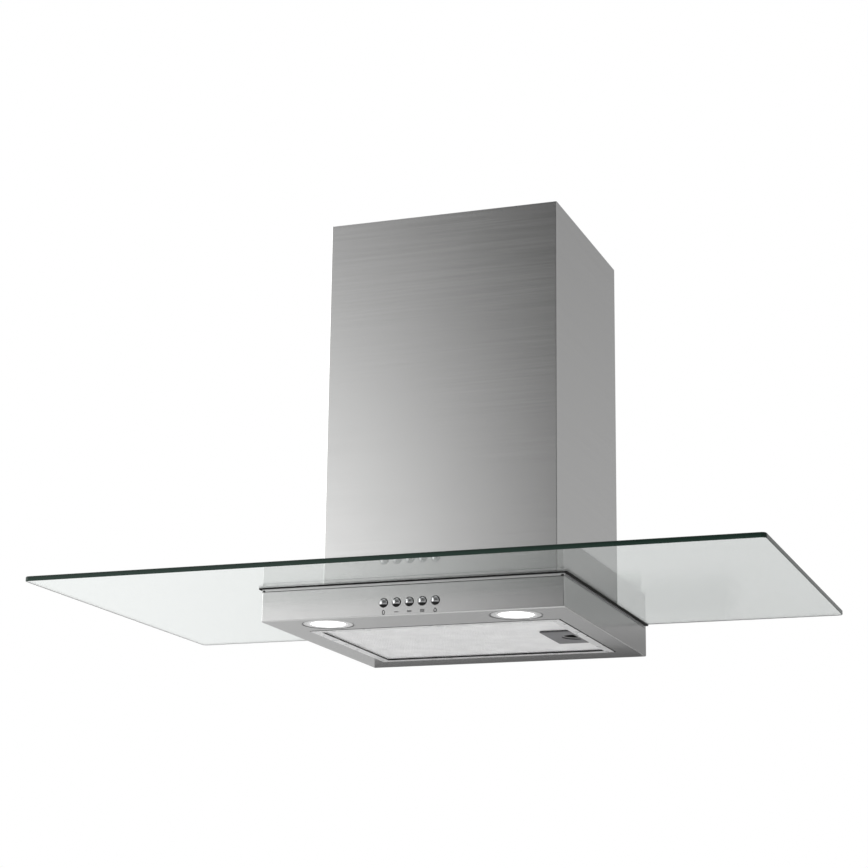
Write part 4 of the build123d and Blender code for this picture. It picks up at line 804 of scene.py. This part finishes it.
def flat_dash(x, y, z, length, width):
    """A thin rounded dash lying in X and Y."""
    loop = oval(length, width, count=10)
    count = len(loop)
    vertices = [(x + u, y + v, z - drop) for drop in (0, DASH_THICKNESS) for u, v in loop]
    faces = [tuple(range(count)), tuple(reversed(range(count, 2 * count)))]
    faces += [(k, count + k, count + (k + 1) % count, (k + 1) % count) for k in range(count)]
    return vertices, faces


def dash_row(name, dashes):
    mesh = mesh_of(*join_parts([flat_dash(*dash) for dash in dashes]))
    add_piece(name, mesh, "black_plastic", "grease_filter")


def shade_dashes():
    """Rows of dark dashes at the frame's back edge and by the latch, as painted shade."""
    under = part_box("filter_face_mesh")[0].z
    back = FRAME_HIGH.y - BACK_INSET
    count = int((FRAME_HIGH.x - FRAME_LOW.x - 2 * FRAME_STRIP - HINGE_TAB) / BACK_PITCH)
    first = (FRAME_LOW.x + HINGE_TAB + FRAME_HIGH.x - (count - 1) * BACK_PITCH) / 2
    spots = [first + k * BACK_PITCH for k in range(count)]
    dash_row("filter_back_shade_dashes", [(x, back, under, *BACK_DASH) for x in spots])
    low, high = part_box("latch_plate")
    under = low.z - DASH_LIFT
    pitch = (high.x - low.x) / LATCH_DASHES
    spots = [low.x + (k + 0.5) * pitch for k in range(LATCH_DASHES)]
    dash_row("latch_front_shade_dashes", [(x, low.y, under, pitch, LATCH_DASH_DEPTH) for x in spots])


BUTTON_DOME = 3.2 * MM
BUTTON_LENGTH = 12.0 * MM
STEM_RADIUS = 3.0 * MM
DOME_RINGS = 14
DOME_SIDES = 64
SHARP_EDGE = math.radians(25)


def domed_button(node, body):
    """Turned button: spherical dome, collar, shoulder and stem, in the box of its CAD node.

    The CAD node has the same outline, apart from its dome, which curves in instead of out.
    """
    low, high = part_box(node)
    middle = (low + high) / 2
    radius = (high.x - low.x) / 2
    sphere = (radius**2 + BUTTON_DOME**2) / (2 * BUTTON_DOME)
    steep = math.asin(radius / sphere)
    slopes = [steep * ring / DOME_RINGS for ring in range(1, DOME_RINGS + 1)]
    profile = [
        (sphere * math.sin(slope), low.y + sphere * (1 - math.cos(slope))) for slope in slopes
    ]
    profile += [
        (radius, low.y + BUTTON_LENGTH),
        (STEM_RADIUS, low.y + BUTTON_LENGTH),
        (STEM_RADIUS, high.y),
    ]
    turns = [math.tau * side / DOME_SIDES for side in range(DOME_SIDES)]
    bm = bmesh.new()
    rings = []
    for out, y in profile:
        spots = [
            (middle.x + out * math.cos(turn), y, middle.z + out * math.sin(turn))
            for turn in turns
        ]
        rings.append([bm.verts.new(spot) for spot in spots])
    front = bm.verts.new((middle.x, low.y, middle.z))
    back = bm.verts.new((middle.x, high.y, middle.z))
    for side in range(DOME_SIDES):
        after = (side + 1) % DOME_SIDES
        bm.faces.new((front, rings[0][side], rings[0][after]))
        bm.faces.new((back, rings[-1][after], rings[-1][side]))
        for near, far in zip(rings, rings[1:]):
            bm.faces.new((near[side], far[side], far[after], near[after]))
    bmesh.ops.recalc_face_normals(bm, faces=bm.faces)
    mesh = mesh_from(bm, node)
    piece = add_piece(node + "_domed", mesh, "polished_chrome", body, smooth=True)
    mesh.set_sharp_from_angle(angle=SHARP_EDGE)
    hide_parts(node)


# ---------------------------------------------------------------- light and surroundings
# What the metal mirrors. Each glow is a product of ramps over a direction's azimuth (0 in front,
# positive to the right) or height, both in degrees, or over its x or y.
REACH = (("height", -22.0, -10.0, 0.0, 1.0), ("height", 34.0, 46.0, 1.0, 0.0))
FRONT_GLOWS = (
    # softbox in front, left of the hood: its right edge fades out over the chimney's face
    (
        ("azimuth", -26.5, -13.0, 1.78, 0.19),
        ("azimuth", -13.0, -4.0, 1.0, 0.10),
        ("azimuth", -52.0, -38.0, 0.05, 1.0),
        ("height", 4.0, 26.0, 1.22, 0.12),
        ("height", 2.0, 10.0, 0.64, 1.0),
    ),
    # taller softbox on the far left, and a narrow one on the far right
    (("azimuth", -120.0, -108.0, 0.0, 3.2), ("azimuth", -46.0, -36.0, 1.0, 0.0), *REACH),
    (("azimuth", 46.0, 58.0, 0.0, 0.6), ("azimuth", 72.0, 86.0, 1.0, 0.0), *REACH),
    # plain light on the right, mostly from below, and a little from high in front
    (
        ("azimuth", -10.0, 6.0, 0.0, 1.0),
        ("azimuth", 28.0, 45.0, 1.0, 0.5),
        ("height", -8.0, 4.0, 0.95, 0.18),
    ),
    (("height", 30.0, 46.0, 0.0, 0.28),),
)
# the room behind: brighter on the left, dimmer in the middle
BACK_GLOWS = (
    (("x", -0.50, -0.20, 0.55, 0.08),),
    (("x", 0.0, 0.30, 0.0, 0.13),),
    (("height", 8.0, 26.0, 0.42, 0.24),),
)
OVERHEAD_GLOW = (("height", 58.0, 74.0, 0.0, 0.85),)
FRONT_SHARE = (("y", -0.2, 0.25, 1.0, 0.0),)


def make_world():
    """Mirrored and bounced light comes from the studio. The camera sees white."""
    world = bpy.data.worlds.new("studio")
    bpy.context.scene.world = world
    world.use_nodes = True
    tree = world.node_tree
    tree.nodes.clear()
    output = put(tree, "OutputWorld")
    x, y, z = parts_of(tree, put(tree, "TexCoord").outputs["Generated"])
    azimuth = maths(tree, "ARCTAN2", x, product(tree, y, -1.0))
    measures = {
        "x": x,
        "y": y,
        "azimuth": maths(tree, "DEGREES", azimuth),
        "height": maths(tree, "DEGREES", maths(tree, "ARCSINE", z)),
    }
    front = total(tree, *[shaped(tree, measures, glow) for glow in FRONT_GLOWS])
    back = total(tree, *[shaped(tree, measures, glow) for glow in BACK_GLOWS])
    share = shaped(tree, measures, FRONT_SHARE)
    level = total(
        tree,
        product(tree, share, front),
        product(tree, opposite(tree, share), back),
        shaped(tree, measures, OVERHEAD_GLOW),
    )
    studio = put(tree, "Background", {"Color": even_colour(tree, level)})
    white = put(tree, "Background", {"Color": grey(1.0), "Strength": 1.0})
    # the glass shows the same white, until its light has bounced off something
    path = put(tree, "LightPath").outputs
    bounced = total(tree, path["Diffuse Depth"], path["Glossy Depth"])
    direct = maths(tree, "LESS_THAN", bounced, 0.5)
    through = product(tree, path["Is Transmission Ray"], direct)
    seen = maths(tree, "MAXIMUM", path["Is Camera Ray"], through)
    final = put(tree, "MixShader", {0: seen, 1: studio.outputs[0], 2: white.outputs[0]})
    wire(tree, output.inputs["Surface"], final.outputs[0])


LIGHT_TARGET = Vector((0.0, -0.2, 0.2))


def make_light(name, spot, size, power):
    data = bpy.data.lights.new(name, "AREA")
    data.shape = "RECTANGLE"
    data.size = size
    data.size_y = size
    data.energy = power
    light = bpy.data.objects.new(name, data)
    light.location = spot
    light.rotation_euler = (LIGHT_TARGET - Vector(spot)).to_track_quat("-Z", "Y").to_euler()
    light.visible_glossy = False
    light.visible_transmission = False
    bpy.context.scene.collection.objects.link(light)


FLOOR_RADIUS = 6.0
FLOOR_SEGMENTS = 96
FLOOR_PLACE = (0.0, -0.2, -1.62)


def set_stage(name, mesh, mat, spot):
    mesh.materials.append(mat)
    piece = bpy.data.objects.new(name, mesh)
    piece.location = spot
    bpy.context.scene.collection.objects.link(piece)
    return piece


def make_floor():
    """A round pale floor, far below: the hood hangs at its working height.

    A view from under the floor looks through it.
    """
    bm = bmesh.new()
    bmesh.ops.create_circle(bm, cap_ends=True, radius=FLOOR_RADIUS, segments=FLOOR_SEGMENTS)
    mesh = mesh_from(bm, "floor")
    mat, tree, shader = surface("floor_paint")
    paint = blend(tree, noise(tree, place(tree), scale=3.0), grey(0.86), grey(0.90))
    feed(tree, shader, {"Base Color": paint, "Roughness": 0.9})
    under = put(tree, "NewGeometry").outputs["Backfacing"]
    clear = put(tree, "BsdfTransparent")
    show(tree, put(tree, "MixShader", {0: under, 1: shader.outputs[0], 2: clear.outputs[0]}))
    set_stage("floor", mesh, mat, FLOOR_PLACE)


SHADE_DROP = 40 * MM
SHADE_RISE = 60 * MM
SHADE_REACH = 140 * MM
SHADE_SETBACK = 1 * MM


def make_contact_shade():
    """Shade close to the wall behind the body, which only the polished metal mirrors."""
    low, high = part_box("canopy_shell")
    left, side, right = low.x, high.x, high.x + SHADE_REACH
    corners = [
        (left, 0, -SHADE_DROP),
        (right, 0, -SHADE_DROP),
        (right, 0, SHADE_RISE),
        (left, 0, SHADE_RISE),
    ]
    mesh = mesh_of(corners, [(0, 1, 2, 3)], "contact_shade")
    mat, tree, shader = surface("contact_shade")
    parts = parts_of(tree, place(tree))
    below = (
        ("z", -SHADE_DROP, -6 * MM, 0.0, 0.65),
        ("z", -0.5 * MM, 0.0, 1.0, 0.0),
        ("x", side - 10 * MM, side, 1.0, 0.0),
    )
    beside = (
        ("z", -SHADE_DROP, 0.0, 0.0, 1.0),
        ("z", 12 * MM, SHADE_RISE, 0.28, 0.0),
        ("x", side - 20 * MM, side, 0.0, 1.0),
        ("x", right - 40 * MM, right, 1.0, 0.0),
    )
    measures = {"x": parts[0], "z": parts[2]}
    shadows = [shaped(tree, measures, ramps) for ramps in (below, beside)]
    veil = opposite(tree, maths(tree, "MAXIMUM", *shadows))
    show(tree, put(tree, "BsdfTransparent", {0: even_colour(tree, veil)}))
    tree.nodes.remove(shader)
    shade = set_stage("contact_shade", mesh, mat, (0.0, SHADE_SETBACK, 0.0))
    shade.visible_camera = False
    shade.visible_transmission = False
    shade.visible_diffuse = False
    shade.visible_shadow = False


make_camera()
dress_nodes()
filter_meshes()
printed_marks()
shade_dashes()
for key in BUTTONS:
    domed_button("button_" + key, key + "_button")
make_world()
make_light("key", spot=(-2.3, -2.1, 1.1), size=1.5, power=92.0)
make_light("fill", spot=(2.4, -1.8, 0.9), size=1.4, power=10.0)
make_floor()
make_contact_shade()

bpy.context.scene.view_settings.view_transform = "Standard"
